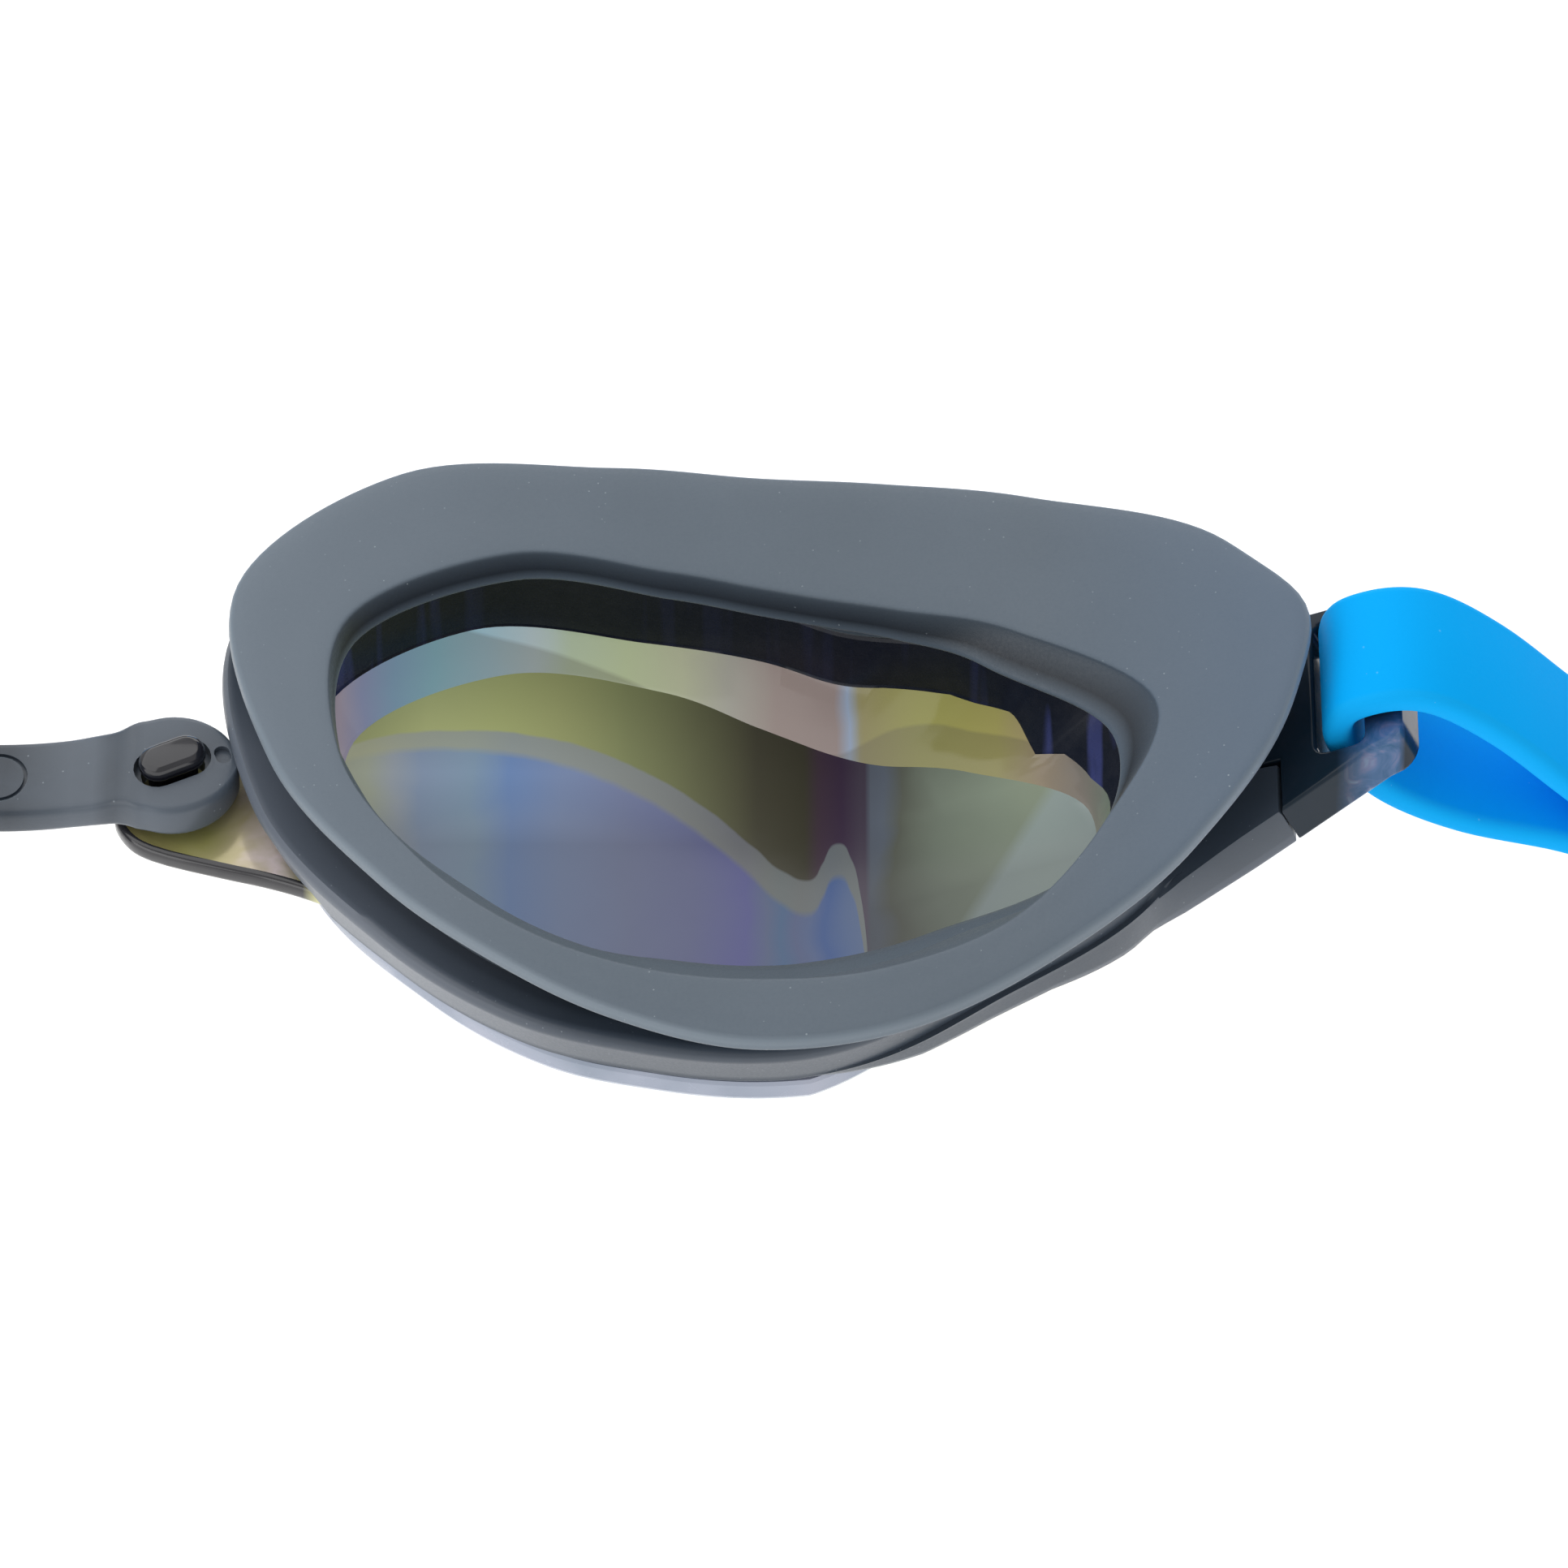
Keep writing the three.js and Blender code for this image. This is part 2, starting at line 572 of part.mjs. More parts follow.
// The clip: a block with three channels along X, one for each layer of the strap.
function clipSolid() {
  const half = { y: CLIP.width / 2, z: CLIP.height / 2 };
  const channel = { y: CLIP_CHANNEL.width / 2, z: CLIP_CHANNEL.height / 2 };
  const outline = roundedRectangle(-half.y, half.y, -half.z, half.z, CLIP.corner);
  for (const layer of [-1, 0, 1]) {
    const y = layer * RUN_SPACING;
    outline.holes.push(
      roundedRectangle(y - channel.y, y + channel.y, -channel.z, channel.z, CLIP_CHANNEL.corner, new THREE.Path()),
    );
  }
  // The shape is drawn in (y, z) and extruded along +X.
  const turn = new THREE.Matrix4().makeBasis(
    new THREE.Vector3(0, 1, 0),
    new THREE.Vector3(0, 0, 1),
    new THREE.Vector3(1, 0, 0),
  );
  const depth = CLIP.length;
  const block = new THREE.ExtrudeGeometry(outline, { depth, bevelEnabled: false, curveSegments: ROUND_STEPS.clip });
  return solid(block.applyMatrix4(turn).translate(-depth / 2, BACK_Y - RUN_SPACING / 2, BACK_Z));
}

// ---- Assembly ----

function piece(name, manifold, material) {
  const mesh = new THREE.Mesh(geometryFrom(manifold), material);
  mesh.name = name;
  return mesh;
}

// A piece and its mirror image across the nose.
function pair(name, manifold, material) {
  return [
    piece(`right_${name}`, manifold, material),
    piece(`left_${name}`, manifold.mirror([1, 0, 0]), material),
  ];
}

const goggles = new THREE.Group();
goggles.add(
  ...pair("lens", lensSolid(), mirrorTint),
  ...pair("frame", frameSolid(), frameGrey),
  ...pair("seal", sealSolid(), silicone),
  ...pair("strap_fold", strapFold(), strapBlue),
  piece("nose_bridge", bridgeSolid(), bridgeGrey),
  piece("strap_outer_run", outerRun(), strapBlue),
  piece("strap_inner_run_right", innerRunRight(), strapBlue),
  piece("strap_inner_run_left", innerRunLeft(), strapBlue),
  piece("rear_clip", clipSolid(), clipGrey),
);

const box = new THREE.Box3().setFromObject(goggles);
goggles.position.set(0, -(box.min.y + box.max.y) / 2, -box.min.z);

export default goggles;
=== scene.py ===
"""Swim goggles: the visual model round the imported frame, with a studio and a camera."""

import math

import bmesh
import bpy
import numpy as np
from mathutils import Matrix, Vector


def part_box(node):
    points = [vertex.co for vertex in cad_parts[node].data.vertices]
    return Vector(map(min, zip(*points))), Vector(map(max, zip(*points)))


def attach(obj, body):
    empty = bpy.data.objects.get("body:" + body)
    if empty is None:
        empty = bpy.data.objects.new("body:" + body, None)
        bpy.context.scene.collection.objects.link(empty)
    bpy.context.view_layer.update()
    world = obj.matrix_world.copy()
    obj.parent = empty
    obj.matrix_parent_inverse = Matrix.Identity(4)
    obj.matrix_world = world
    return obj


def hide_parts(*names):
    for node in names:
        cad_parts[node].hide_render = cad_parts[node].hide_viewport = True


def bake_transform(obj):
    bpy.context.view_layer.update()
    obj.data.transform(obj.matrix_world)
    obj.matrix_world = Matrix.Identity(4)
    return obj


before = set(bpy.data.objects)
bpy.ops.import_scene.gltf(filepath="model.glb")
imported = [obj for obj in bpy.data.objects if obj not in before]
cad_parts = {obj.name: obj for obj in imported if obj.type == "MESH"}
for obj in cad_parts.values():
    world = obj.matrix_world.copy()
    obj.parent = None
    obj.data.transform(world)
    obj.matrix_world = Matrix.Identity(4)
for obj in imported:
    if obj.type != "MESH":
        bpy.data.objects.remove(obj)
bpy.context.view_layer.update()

# ---- Dimensions, in mm, in the cups' own coordinates: y = 0 is the line through the nose pegs ----

MM = 0.001
BRIDGE_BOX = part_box("nose_bridge")
ROW_Y = (BRIDGE_BOX[0].y + BRIDGE_BOX[1].y) / 2 / MM  # the pegs' line in the row frame

CUP_CENTRE = np.array([41.0, -3.5])
CUP_NOSE_X = 12.5
CUP_WIDTH = 57.6
# Radii of a cup's outlines about its centre, at 16 even angles from the temple round by the brow.
SEAL_OUTER = [
    28.4, 27.2, 21.1, 18.2, 17.9, 20.8, 27.3, 30.4,
    26.0, 21.7, 19.5, 19.3, 20.3, 21.3, 22.4, 25.0,
]
SEAL_OPENING = [
    21.1, 14.8, 10.9, 9.6, 10.0, 12.4, 18.7, 23.7,
    22.2, 19.2, 17.2, 16.2, 16.2, 17.4, 19.1, 19.9,
]
BAND = [25.5, 21.2, 17.2, 15.6, 16.7, 19.3, 25.5, 29.0, 24.5, 19.5, 16.6, 14.6, 14.1, 14.6, 16.8, 22.2]
FLANGE = [25.5, 21.2, 17.2, 15.6, 16.7, 19.6, 26.3, 30.7, 27.0, 21.9, 18.8, 16.6, 16.0, 16.3, 17.6, 22.3]
PANE = [17.9, 12.5, 9.7, 9.2, 10.2, 13.7, 19.6, 23.9, 21.1, 16.1, 13.2, 11.2, 10.7, 11.2, 13.6, 18.2]

CREASE_X = 46.0
CREASE_BLEND = 4.0
PANE_BLEND = 2.2  # the panes turn more sharply than the walls
SIDE_ANGLE = math.radians(24)
SIDE_SLOPE = math.tan(SIDE_ANGLE)
PLATE_THICKNESS = 1.6
PANE_THICKNESS = 2.1
WALL_HEIGHT = 7.7
WALL_INNER_INSET, WALL_OUTER_INSET = 3.3, 2.0  # from the band's outline
FACET_HEIGHT = 3.8
FIT_GAP = 0.4
SEAL_NOSE_HEIGHT = 13.0
SEAL_TEMPLE_RISE = 6.0

PEG_X = 9.5
EAR_BOTTOM, EAR_TOP = 3.5, 4.7
SIDE_BOTTOM, SIDE_TOP = 0.3, 3.2
WING_START, WING_END = 13.5, 26.36
WING_NEAR_START, WING_NEAR_END, WING_FAR = -14.1, -8.1, 4.7
LOOP_START, LOOP_END = 26.4, 33.4
LOOP_NEAR_START, LOOP_NEAR_END, LOOP_FAR = -8.1, -5.3, 4.7
SLOT = (28.5, 31.25, -4.9, 3.7)
TONGUE = (17.0, 26.4, -4.6, 3.4)

STRAP_WIDTH = 7.8
STRAP_THICKNESS = 1.6
STRAP_Y = -0.6
RUN_SPACING = 2.6
TABLE_GAP = 0.1
SWING_X = 93.0
SWING_Z = TABLE_GAP + (RUN_SPACING + STRAP_THICKNESS) / 2
JOIN_X = 100.0  # where the strap's end pieces meet its long runs
CLIP_LENGTH, CLIP_WIDTH, CLIP_HEIGHT = 16.0, 10.0, 10.6
BACK_Y = 72.0
BACK_Z = CLIP_HEIGHT / 2
TWIST_LENGTH = 26.0
TAIL_END_X = -31.0
TAIL_SHIFT_START, TAIL_SHIFT_END = 78.0, 50.0

AROUND = 240  # even samples round every outline of a cup


def on_slope(s, y, h):
    """A point of the side pane's plane: s up the slope from the crease, h above the lens's outer face."""
    x = CREASE_X + s * math.cos(SIDE_ANGLE) - h * math.sin(SIDE_ANGLE)
    return (x, y, s * math.sin(SIDE_ANGLE) + h * math.cos(SIDE_ANGLE))


def wing_corners():
    """Plan of the frame's wing in x and y, anticlockwise, from the near side of its start."""
    plan = [
        (WING_START, WING_NEAR_START),
        (WING_END, WING_NEAR_END),
        (WING_END, WING_FAR),
        (WING_START, WING_FAR),
    ]
    return np.array([on_slope(s, y, (SIDE_BOTTOM + SIDE_TOP) / 2)[:2] for s, y in plan])


def sample_angles():
    """Angles of the samples round a cup: even ones, and one at each outer corner of the wing."""
    even = np.arange(AROUND) * 2 * math.pi / AROUND
    corners = wing_corners()[1:3] - CUP_CENTRE
    turns = np.arctan2(corners[:, 1], corners[:, 0]) % (2 * math.pi)
    for turn in turns:
        even[np.argmin(np.abs(even - turn))] = turn
    return even


ANGLES = sample_angles()

# ---- Camera, lights and floor ----


def add_object(name, data):
    obj = bpy.data.objects.new(name, data)
    bpy.context.scene.collection.objects.link(obj)
    return obj


def row_point(x, y, z):
    return Vector((x * MM, (y + ROW_Y) * MM, z * MM))


CAMERA_AIM = row_point(42.5, -1.9, 8)
CAMERA_ELEVATION = math.radians(52)
CAMERA_DISTANCE = 0.55
CAMERA_LENS = 234.7
FLOOR_HALF, FLOOR_DROP = 3.0, 0.0002


def set_camera():
    forward = Vector((0, math.cos(CAMERA_ELEVATION), -math.sin(CAMERA_ELEVATION)))
    data = bpy.data.cameras.new("camera")
    data.sensor_width = 36
    data.lens = CAMERA_LENS
    data.clip_start = 0.01
    camera = add_object("camera", data)
    camera.location = CAMERA_AIM - forward * CAMERA_DISTANCE
    camera.rotation_euler = forward.to_track_quat("-Z", "Y").to_euler()
    bpy.context.scene.camera = camera


def add_area_light(name, location, aim, size, energy):
    data = bpy.data.lights.new(name, "AREA")
    data.shape = "RECTANGLE"
    data.size, data.size_y = size
    data.energy = energy
    light = add_object(name, data)
    light.location = location
    light.rotation_euler = (Vector(aim) - Vector(location)).to_track_quat("-Z", "Y").to_euler()


def set_studio():
    scene = bpy.context.scene
    scene.view_settings.view_transform = "Standard"
    world = bpy.data.worlds.new("studio")
    scene.world = world
    world.use_nodes = True
    background = world.node_tree.nodes["Background"]
    background.inputs["Color"].default_value = (1, 1, 1, 1)
    background.inputs["Strength"].default_value = 0.62
    aim = (0.04, -0.02, 0)
    add_area_light("key", (-0.25, 0.15, 0.6), aim, (1.0, 0.9), 2.6)
    add_area_light("fill", (-0.45, -0.4, 0.2), aim, (0.5, 0.35), 0.9)
    add_area_light("back", (0.15, 0.6, 0.3), aim, (0.8, 0.3), 1.0)
    floor_mesh = bpy.data.meshes.new("floor")
    corners = [(x * FLOOR_HALF, y * FLOOR_HALF, 0) for x, y in ((-1, -1), (1, -1), (1, 1), (-1, 1))]
    floor_mesh.from_pydata(corners, [], [(0, 1, 2, 3)])
    floor = add_object("floor", floor_mesh)
    floor.location.z = -FLOOR_DROP
    material = bpy.data.materials.new("floor")
    material.use_nodes = True
    shader = material.node_tree.nodes["Principled BSDF"]
    grey, white = (0.3, 0.3, 0.3, 1), (1, 1, 1, 1)
    looks = {"Base Color": grey, "Roughness": 0.9, "Emission Color": white, "Emission Strength": 0.95}
    for key, value in looks.items():
        shader.inputs[key].default_value = value
    floor_mesh.materials.append(material)


# ---- Materials ----


def linear(red, green, blue):
    """An sRGB colour in 0 to 255 as the linear RGBA that the shader takes."""
    channels = []
    for value in (red, green, blue):
        share = value / 255
        channels.append(share / 12.92 if share <= 0.04045 else ((share + 0.055) / 1.055) ** 2.4)
    return (*channels, 1.0)


class Nodes:
    """Short names for building one material's node tree."""

    def __init__(self, name):
        self.material = bpy.data.materials.new(name)
        self.material.use_nodes = True
        self.tree = self.material.node_tree
        self.shader = self.tree.nodes["Principled BSDF"]
        place = self.node("TexCoord").outputs["Object"]
        self.mm = self.vector("SCALE", place, Scale=1 / MM)

    def node(self, kind, **inputs):
        node = self.tree.nodes.new("ShaderNode" + kind)
        self.fill(node, inputs)
        return node

    def fill(self, node, inputs):
        for name, value in inputs.items():
            self.feed(node.inputs[name.replace("_", " ")], value)

    def feed(self, target, value):
        """Links or sets an input. Colours are given as sRGB, 0 to 255."""
        if isinstance(value, bpy.types.NodeSocket):
            self.tree.links.new(value, target)
        else:
            target.default_value = linear(*value) if target.type == "RGBA" else value

    def operate(self, node, operation, values):
        node.operation = operation
        for target, value in zip(node.inputs, values):
            self.feed(target, value)
        return node.outputs[0]

    def vector(self, operation, *values, **inputs):
        node = self.node("VectorMath")
        made = self.operate(node, operation, values)
        self.fill(node, inputs)  # Scale is there only once the operation is set
        return made

    def math(self, operation, a, b=0.0):
        return self.operate(self.node("Math"), operation, (a, b))

    def times(self, a, b):
        return self.math("MULTIPLY", a, b)

    def plus(self, a, b):
        return self.math("ADD", a, b)

    def minus(self, a, b):
        return self.math("SUBTRACT", a, b)

    def noise(self, scale, detail=3.0, vector=None, roughness=0.5, distortion=0.0):
        node = self.node("TexNoise", Vector=self.mm if vector is None else vector, Scale=scale)
        self.fill(node, {"Detail": detail, "Roughness": roughness, "Distortion": distortion})
        return node.outputs["Fac"]

    def specks(self, scale, size):
        """1 on small round specks, 0 elsewhere."""
        node = self.node("TexVoronoi", Vector=self.mm, Scale=scale)
        return self.math("LESS_THAN", node.outputs["Distance"], size)

    def ramp(self, factor, stops):
        """A colour ramp through stops of (place, red, green, blue)."""
        node = self.node("ValToRGB", Fac=factor)
        elements = node.color_ramp.elements
        placed = [(place, linear(*colour)) for place, *colour in stops]
        elements[0].position, elements[0].color = placed[0]
        elements[1].position, elements[1].color = placed[-1]
        for place, colour in placed[1:-1]:
            elements.new(place).color = colour
        return node.outputs["Color"]

    def span(self, value, low, high):
        """value mapped so that low gives 0 and high gives 1, clamped."""
        return self.node("MapRange", Value=value, From_Min=low, From_Max=high).outputs["Result"]

    def mix(self, factor, a, b):
        node = self.node("Mix")
        node.data_type = "RGBA"
        for index, value in ((0, factor), (6, a), (7, b)):
            self.feed(node.inputs[index], value)
        return node.outputs[2]

    def tint(self, base, mask, share, colour):
        """base with a share of colour wherever mask is 1."""
        return self.mix(self.times(mask, share), base, colour)

    def attribute(self, name):
        node = self.node("Attribute")
        node.attribute_name = name
        return node.outputs["Fac"]

    def bump(self, height, strength, distance):
        node = self.node("Bump", Strength=strength, Distance=distance * MM, Height=height)
        self.set(Normal=node.outputs["Normal"])

    def axis(self, index):
        return self.node("SeparateXYZ", Vector=self.mm).outputs[index]

    def side_x(self):
        """Distance from the nose line, the same on both cups."""
        return self.math("ABSOLUTE", self.axis(0))

    def cup_y(self):
        """y from the line through the nose pegs."""
        return self.minus(self.axis(1), ROW_Y)

    def beyond(self, low, high):
        """0 at the distance low from the nose line, 1 at high."""
        return self.span(self.side_x(), low, high)

    def set(self, **values):
        self.fill(self.shader, values)

    def finish(self, base, texture, low, high, **values):
        """The material, with its colour and a roughness of 0 to 1 where texture goes from low to high."""
        self.set(Base_Color=base, Roughness=self.span(texture, low, high), **values)
        return self.material


def seal_material():
    n = Nodes("slate_silicone")
    patches = n.noise(0.12, 4)
    base = n.mix(patches, (80, 92, 103), (91, 103, 115))
    grain = n.noise(5.5, 4, roughness=0.6)
    base = n.tint(base, grain, 0.35, (74, 86, 98))
    rim = n.attribute("rim")
    # Painted light: the seal is painted paler towards the nose end, where the light falls more strongly.
    base = n.tint(base, n.beyond(34, 14), 0.5, (110, 122, 134))
    base = n.tint(base, n.beyond(56, 70), 0.6, (80, 101, 125))
    # Painted light from the rim attribute: above 0 a painted highlight along the outer edge and the
    # opening's lip, below 0 painted shade down the inner roll.
    base = n.tint(base, n.span(rim, 0, 1), 0.55, (132, 144, 154))
    base = n.tint(base, n.span(rim, 0, -1), 0.9, (22, 28, 36))
    dusty = n.times(n.span(n.noise(0.15, 2), 0.45, 0.7), 0.5)
    base = n.tint(base, n.specks(1.5, 0.075), dusty, (176, 186, 190))
    n.bump(n.plus(grain, n.times(n.noise(14, 2), 0.5)), 0.2, 0.05)
    n.set(Sheen_Weight=0.1, Sheen_Roughness=0.4)
    return n.finish(base, grain, -0.6, 1.9, Specular_IOR_Level=0.4)


def frame_material():
    n = Nodes("frame_plastic")
    patches = n.noise(0.2, 5, distortion=0.5)
    base = n.mix(patches, (52, 62, 73), (70, 79, 91))
    # Painted light: the frame is painted paler on its near side towards the nose, where the light falls on
    # it.
    painted_nose_light = n.times(n.beyond(33, 20), n.span(n.cup_y(), 5, 0))
    base = n.tint(base, painted_nose_light, 0.85, (102, 109, 120))
    # Painted light from the strip attribute: a painted reflection of the bright floor along the frame's
    # lower edge, and a faint painted highlight along the flange's top edge.
    base = n.mix(n.attribute("strip"), base, (86, 94, 106))
    grain = n.noise(7, 3)
    base = n.tint(base, n.specks(1.3, 0.06), 0.35, (160, 168, 176))
    n.bump(grain, 0.12, 0.03)
    n.set(Coat_Weight=0.12, Coat_Roughness=0.3)
    return n.finish(base, grain, -1.2, 3.2, Specular_IOR_Level=0.45)


FACET_STOPS = [
    (16, 206, 190, 186), (18.2, 214, 200, 224), (19.6, 176, 190, 240), (21.2, 158, 206, 244),
    (23.4, 162, 224, 244), (26, 186, 224, 240), (28.5, 204, 222, 226), (31, 198, 214, 184),
    (34, 196, 208, 166), (37, 192, 196, 164), (39.5, 174, 172, 160), (42, 160, 144, 138),
    (45.3, 152, 136, 132), (46, 150, 166, 190), (46.6, 150, 142, 96), (50, 162, 160, 90),
    (54, 170, 164, 98), (56.5, 164, 146, 122), (58.5, 140, 132, 128), (60, 104, 126, 118),
    (64, 130, 140, 120),
]
PANE_STOPS = [
    (16, 214, 220, 184), (19.8, 212, 220, 198), (21.2, 198, 208, 216), (22.8, 170, 190, 218),
    (25.5, 158, 184, 208), (27.6, 132, 162, 212), (30.5, 142, 160, 198), (34, 140, 150, 186),
    (37.5, 134, 140, 184), (40.4, 126, 128, 194), (41.5, 126, 140, 180), (42.3, 110, 142, 186),
    (43.2, 124, 138, 182), (43.9, 122, 142, 190), (44.8, 92, 126, 194), (46, 116, 142, 192),
    (46.9, 126, 148, 190),
]
SIDE_STOPS = [
    (46, 90, 96, 108), (47.6, 98, 106, 118), (48.6, 98, 102, 92), (51, 126, 136, 122),
    (54, 146, 158, 140), (57, 160, 172, 150), (61, 172, 182, 174),
]
# Colours of the painted reflection of the seal's far side, a dark crescent across the front pane.
SEAL_REFLECTION_STOPS = [
    (16, 206, 214, 152), (23, 220, 228, 160), (27, 200, 208, 142), (30, 182, 188, 130),
    (34, 146, 152, 108), (38, 110, 112, 84), (41, 77, 75, 62), (43.6, 67, 65, 53), (44.4, 70, 56, 68),
    (45.6, 64, 50, 70), (46.6, 74, 66, 80),
]
# Lower border of the dark crescent, a painted reflection of the seal's far side, along the far side of the
# front pane: (x, y).
SEAL_REFLECTION_EDGE = [
    (16, 4), (18.8, 5.4), (20.7, 6), (23.7, 6.4), (27.1, 6.3), (30.5, 5.6), (33.9, 4.1), (37.3, 1.8),
    (40.8, -1.6), (42.5, -3.4), (43.8, -3.95), (44.6, -2.8), (45.4, -1.5), (46.1, -2.6), (46.6, -5),
    (47.1, -12),
]
# Upper border of the second reflection along the facet: (x, y).
REFLECTION_EDGE = [
    (16, 12), (26, 12), (33, 10.2), (40, 6.4), (45, 4.6), (49, 5.0), (53, 3.4), (57, 0.5), (62, -4),
]
RAMP_LOW, RAMP_HIGH = 16.0, 64.0


def coat_ramp(n, stops, waviness):
    """Iridescent colours along x, with the wavy borders of a thin coating."""
    wave = n.minus(n.noise(0.16, 2, distortion=0.8), 0.5)
    along = n.plus(n.side_x(), n.times(wave, waviness))
    placed = [((x - RAMP_LOW) / (RAMP_HIGH - RAMP_LOW), *colour) for x, *colour in stops]
    return n.ramp(n.span(along, RAMP_LOW, RAMP_HIGH), placed)


def line_over_x(n, points):
    """y of a line given by (x, y) points, at each place's x."""
    low, high = min(y for _, y in points), max(y for _, y in points)
    node = n.node("FloatCurve", Value=n.beyond(points[0][0], points[-1][0]))
    curve = node.mapping.curves[0]
    reach = points[-1][0] - points[0][0]
    places = [((x - points[0][0]) / reach, (y - low) / (high - low)) for x, y in points]
    curve.points[0].location = places[0]
    curve.points[1].location = places[-1]
    for place in places[1:-1]:
        curve.points.new(*place)
    node.mapping.update()
    return n.plus(n.times(node.outputs["Value"], high - low), low)


def coat_finish(n, base, metallic, roughness=(0.1, 0.2), gloss=0.5):
    smudge = n.noise(0.5, 5, distortion=1.0)
    low, high = roughness
    spread = 1 / (high - low)
    n.bump(n.noise(0.22, 1), 0.06, 0.3)
    n.set(Metallic=metallic, Specular_IOR_Level=gloss)
    return n.finish(base, smudge, -low * spread, (1 - low) * spread)


BLACK = (0, 0, 0)
THROUGH_LIGHT = 0.13  # glow that stands for the light that comes through the smoked lens


def pane_material():
    n = Nodes("mirror_pane")
    y = n.cup_y()
    light = coat_ramp(n, PANE_STOPS, 1.6)
    # Painted shade: the pane's colours are darkened towards the near side.
    light = n.tint(light, n.span(y, 3.5, -1.5), 0.5, BLACK)
    # Painted reflection of the seal's far side: a dark crescent along the far side of the pane, with a
    # paler painted band along its border.
    past = n.minus(y, line_over_x(n, SEAL_REFLECTION_EDGE))
    past = n.plus(past, n.times(n.minus(n.noise(0.5, 2), 0.5), 0.3))
    strip_low = n.minus(-1.0, n.times(n.beyond(18, 44), 1.3))
    strip = n.span(n.minus(past, strip_low), -0.25, 0.25)
    paler = n.mix(n.beyond(19, 27), (226, 230, 192), (186, 190, 168))
    paler = n.mix(n.beyond(27, 40), paler, (116, 118, 106))
    light = n.tint(light, strip, 0.75, paler)
    dark = coat_ramp(n, SEAL_REFLECTION_STOPS, 0.4)
    base = n.mix(n.span(past, -0.08, 0.12), light, dark)
    side = coat_ramp(n, SIDE_STOPS, 2.5)
    # The temple end of the side pane catches more light: a paler area with a slanting border.
    slant = n.minus(n.side_x(), n.times(n.plus(y, 14.0), 0.62))
    side = n.tint(side, n.span(slant, 48.6, 49.6), 0.6, (176, 192, 196))
    # Painted shade: the side pane is darkened towards the near side.
    side = n.tint(side, n.span(y, -0.5, -6.5), 0.5, BLACK)
    base = n.mix(n.beyond(46.9, 47.2), base, side)
    n.set(Emission_Color=base, Emission_Strength=THROUGH_LIGHT)
    return coat_finish(n, base, 0.0, (0.14, 0.24), 0.35)


def facet_material():
    n = Nodes("mirror_facet")
    base = coat_ramp(n, FACET_STOPS, 1.6)
    # A second, overlapping reflection runs along the lower half of the facet.
    y = n.cup_y()
    below = n.span(n.minus(y, line_over_x(n, REFLECTION_EDGE)), 0.1, -0.1)
    base = n.tint(base, below, 0.4, (104, 100, 84))
    n.set(Emission_Color=base, Emission_Strength=2 * THROUGH_LIGHT)
    return coat_finish(n, base, 0.0, (0.08, 0.16), 0.35)


def front_material():
    """The mirror coating as it shows from outside."""
    n = Nodes("mirror_front")
    wave = n.noise(0.05, 3, distortion=1.2)
    stops = [
        (0.0, 120, 90, 190), (0.3, 60, 130, 220), (0.45, 70, 190, 190), (0.6, 150, 190, 110),
        (0.78, 210, 180, 90), (1.0, 205, 120, 150),
    ]
    along = n.plus(n.beyond(4, 80), n.times(n.minus(wave, 0.5), 0.9))
    return coat_finish(n, n.ramp(along, stops), 0.85, (0.06, 0.12))


def dark_wall_material():
    """The lens wall inside the cup: near black, with a few violet streaks."""
    n = Nodes("lens_wall")
    streaks = n.noise(0.75, 2, vector=n.vector("MULTIPLY", n.mm, (1.0, 0.15, 0.05)))
    ends = n.plus(n.beyond(26, 20), n.beyond(52, 58))
    base = n.mix(n.span(n.noise(1.5, 3), 0.3, 0.8), (28, 34, 48), (38, 42, 54))
    streak = n.times(n.span(streaks, 0.52, 0.62), n.plus(n.times(ends, 0.8), 0.1))
    base = n.mix(streak, base, (70, 78, 134))
    return n.finish(base, n.noise(2, 3), -0.8, 4.0, Specular_IOR_Level=0.2)


def lens_edge_material():
    """The cut edge of the front plate: pale, blue-grey and clear-looking."""
    n = Nodes("lens_edge")
    tint = n.noise(0.14, 3, distortion=0.6)
    base = n.ramp(tint, [(0.3, 136, 148, 166), (0.55, 160, 168, 186), (0.8, 184, 186, 202)])
    return n.finish(base, n.noise(1.4, 3), -0.8, 4.5, Coat_Weight=0.6, Coat_Roughness=0.05)


def ear_top_material():
    n = Nodes("ear_top")
    tint = n.plus(n.beyond(8, 21), n.times(n.noise(0.25, 3, distortion=0.8), 0.5))
    # The pale pink stop at 0.8 is a painted highlight band across the ear's top.
    stops = [
        (0.2, 134, 124, 82), (0.5, 168, 164, 102), (0.66, 196, 184, 146), (0.8, 232, 216, 214),
        (0.92, 184, 176, 152), (1.0, 196, 200, 132),
    ]
    return coat_finish(n, n.ramp(tint, stops), 0.25)


def smoke_material():
    """Smoked clear plastic where it is thick: nearly black, brown at the edges, and very glossy."""
    n = Nodes("smoked_plastic")
    tint = n.noise(0.5, 4, distortion=0.8)
    base = n.mix(tint, (22, 22, 26), (48, 46, 50))
    # Where the ear meets the frame, light comes through it.
    base = n.mix(n.beyond(16.6, 17.4), base, (206, 204, 150))
    return n.finish(base, n.noise(1.2, 3), -0.7, 5.5, Coat_Weight=0.5, Coat_Roughness=0.04)


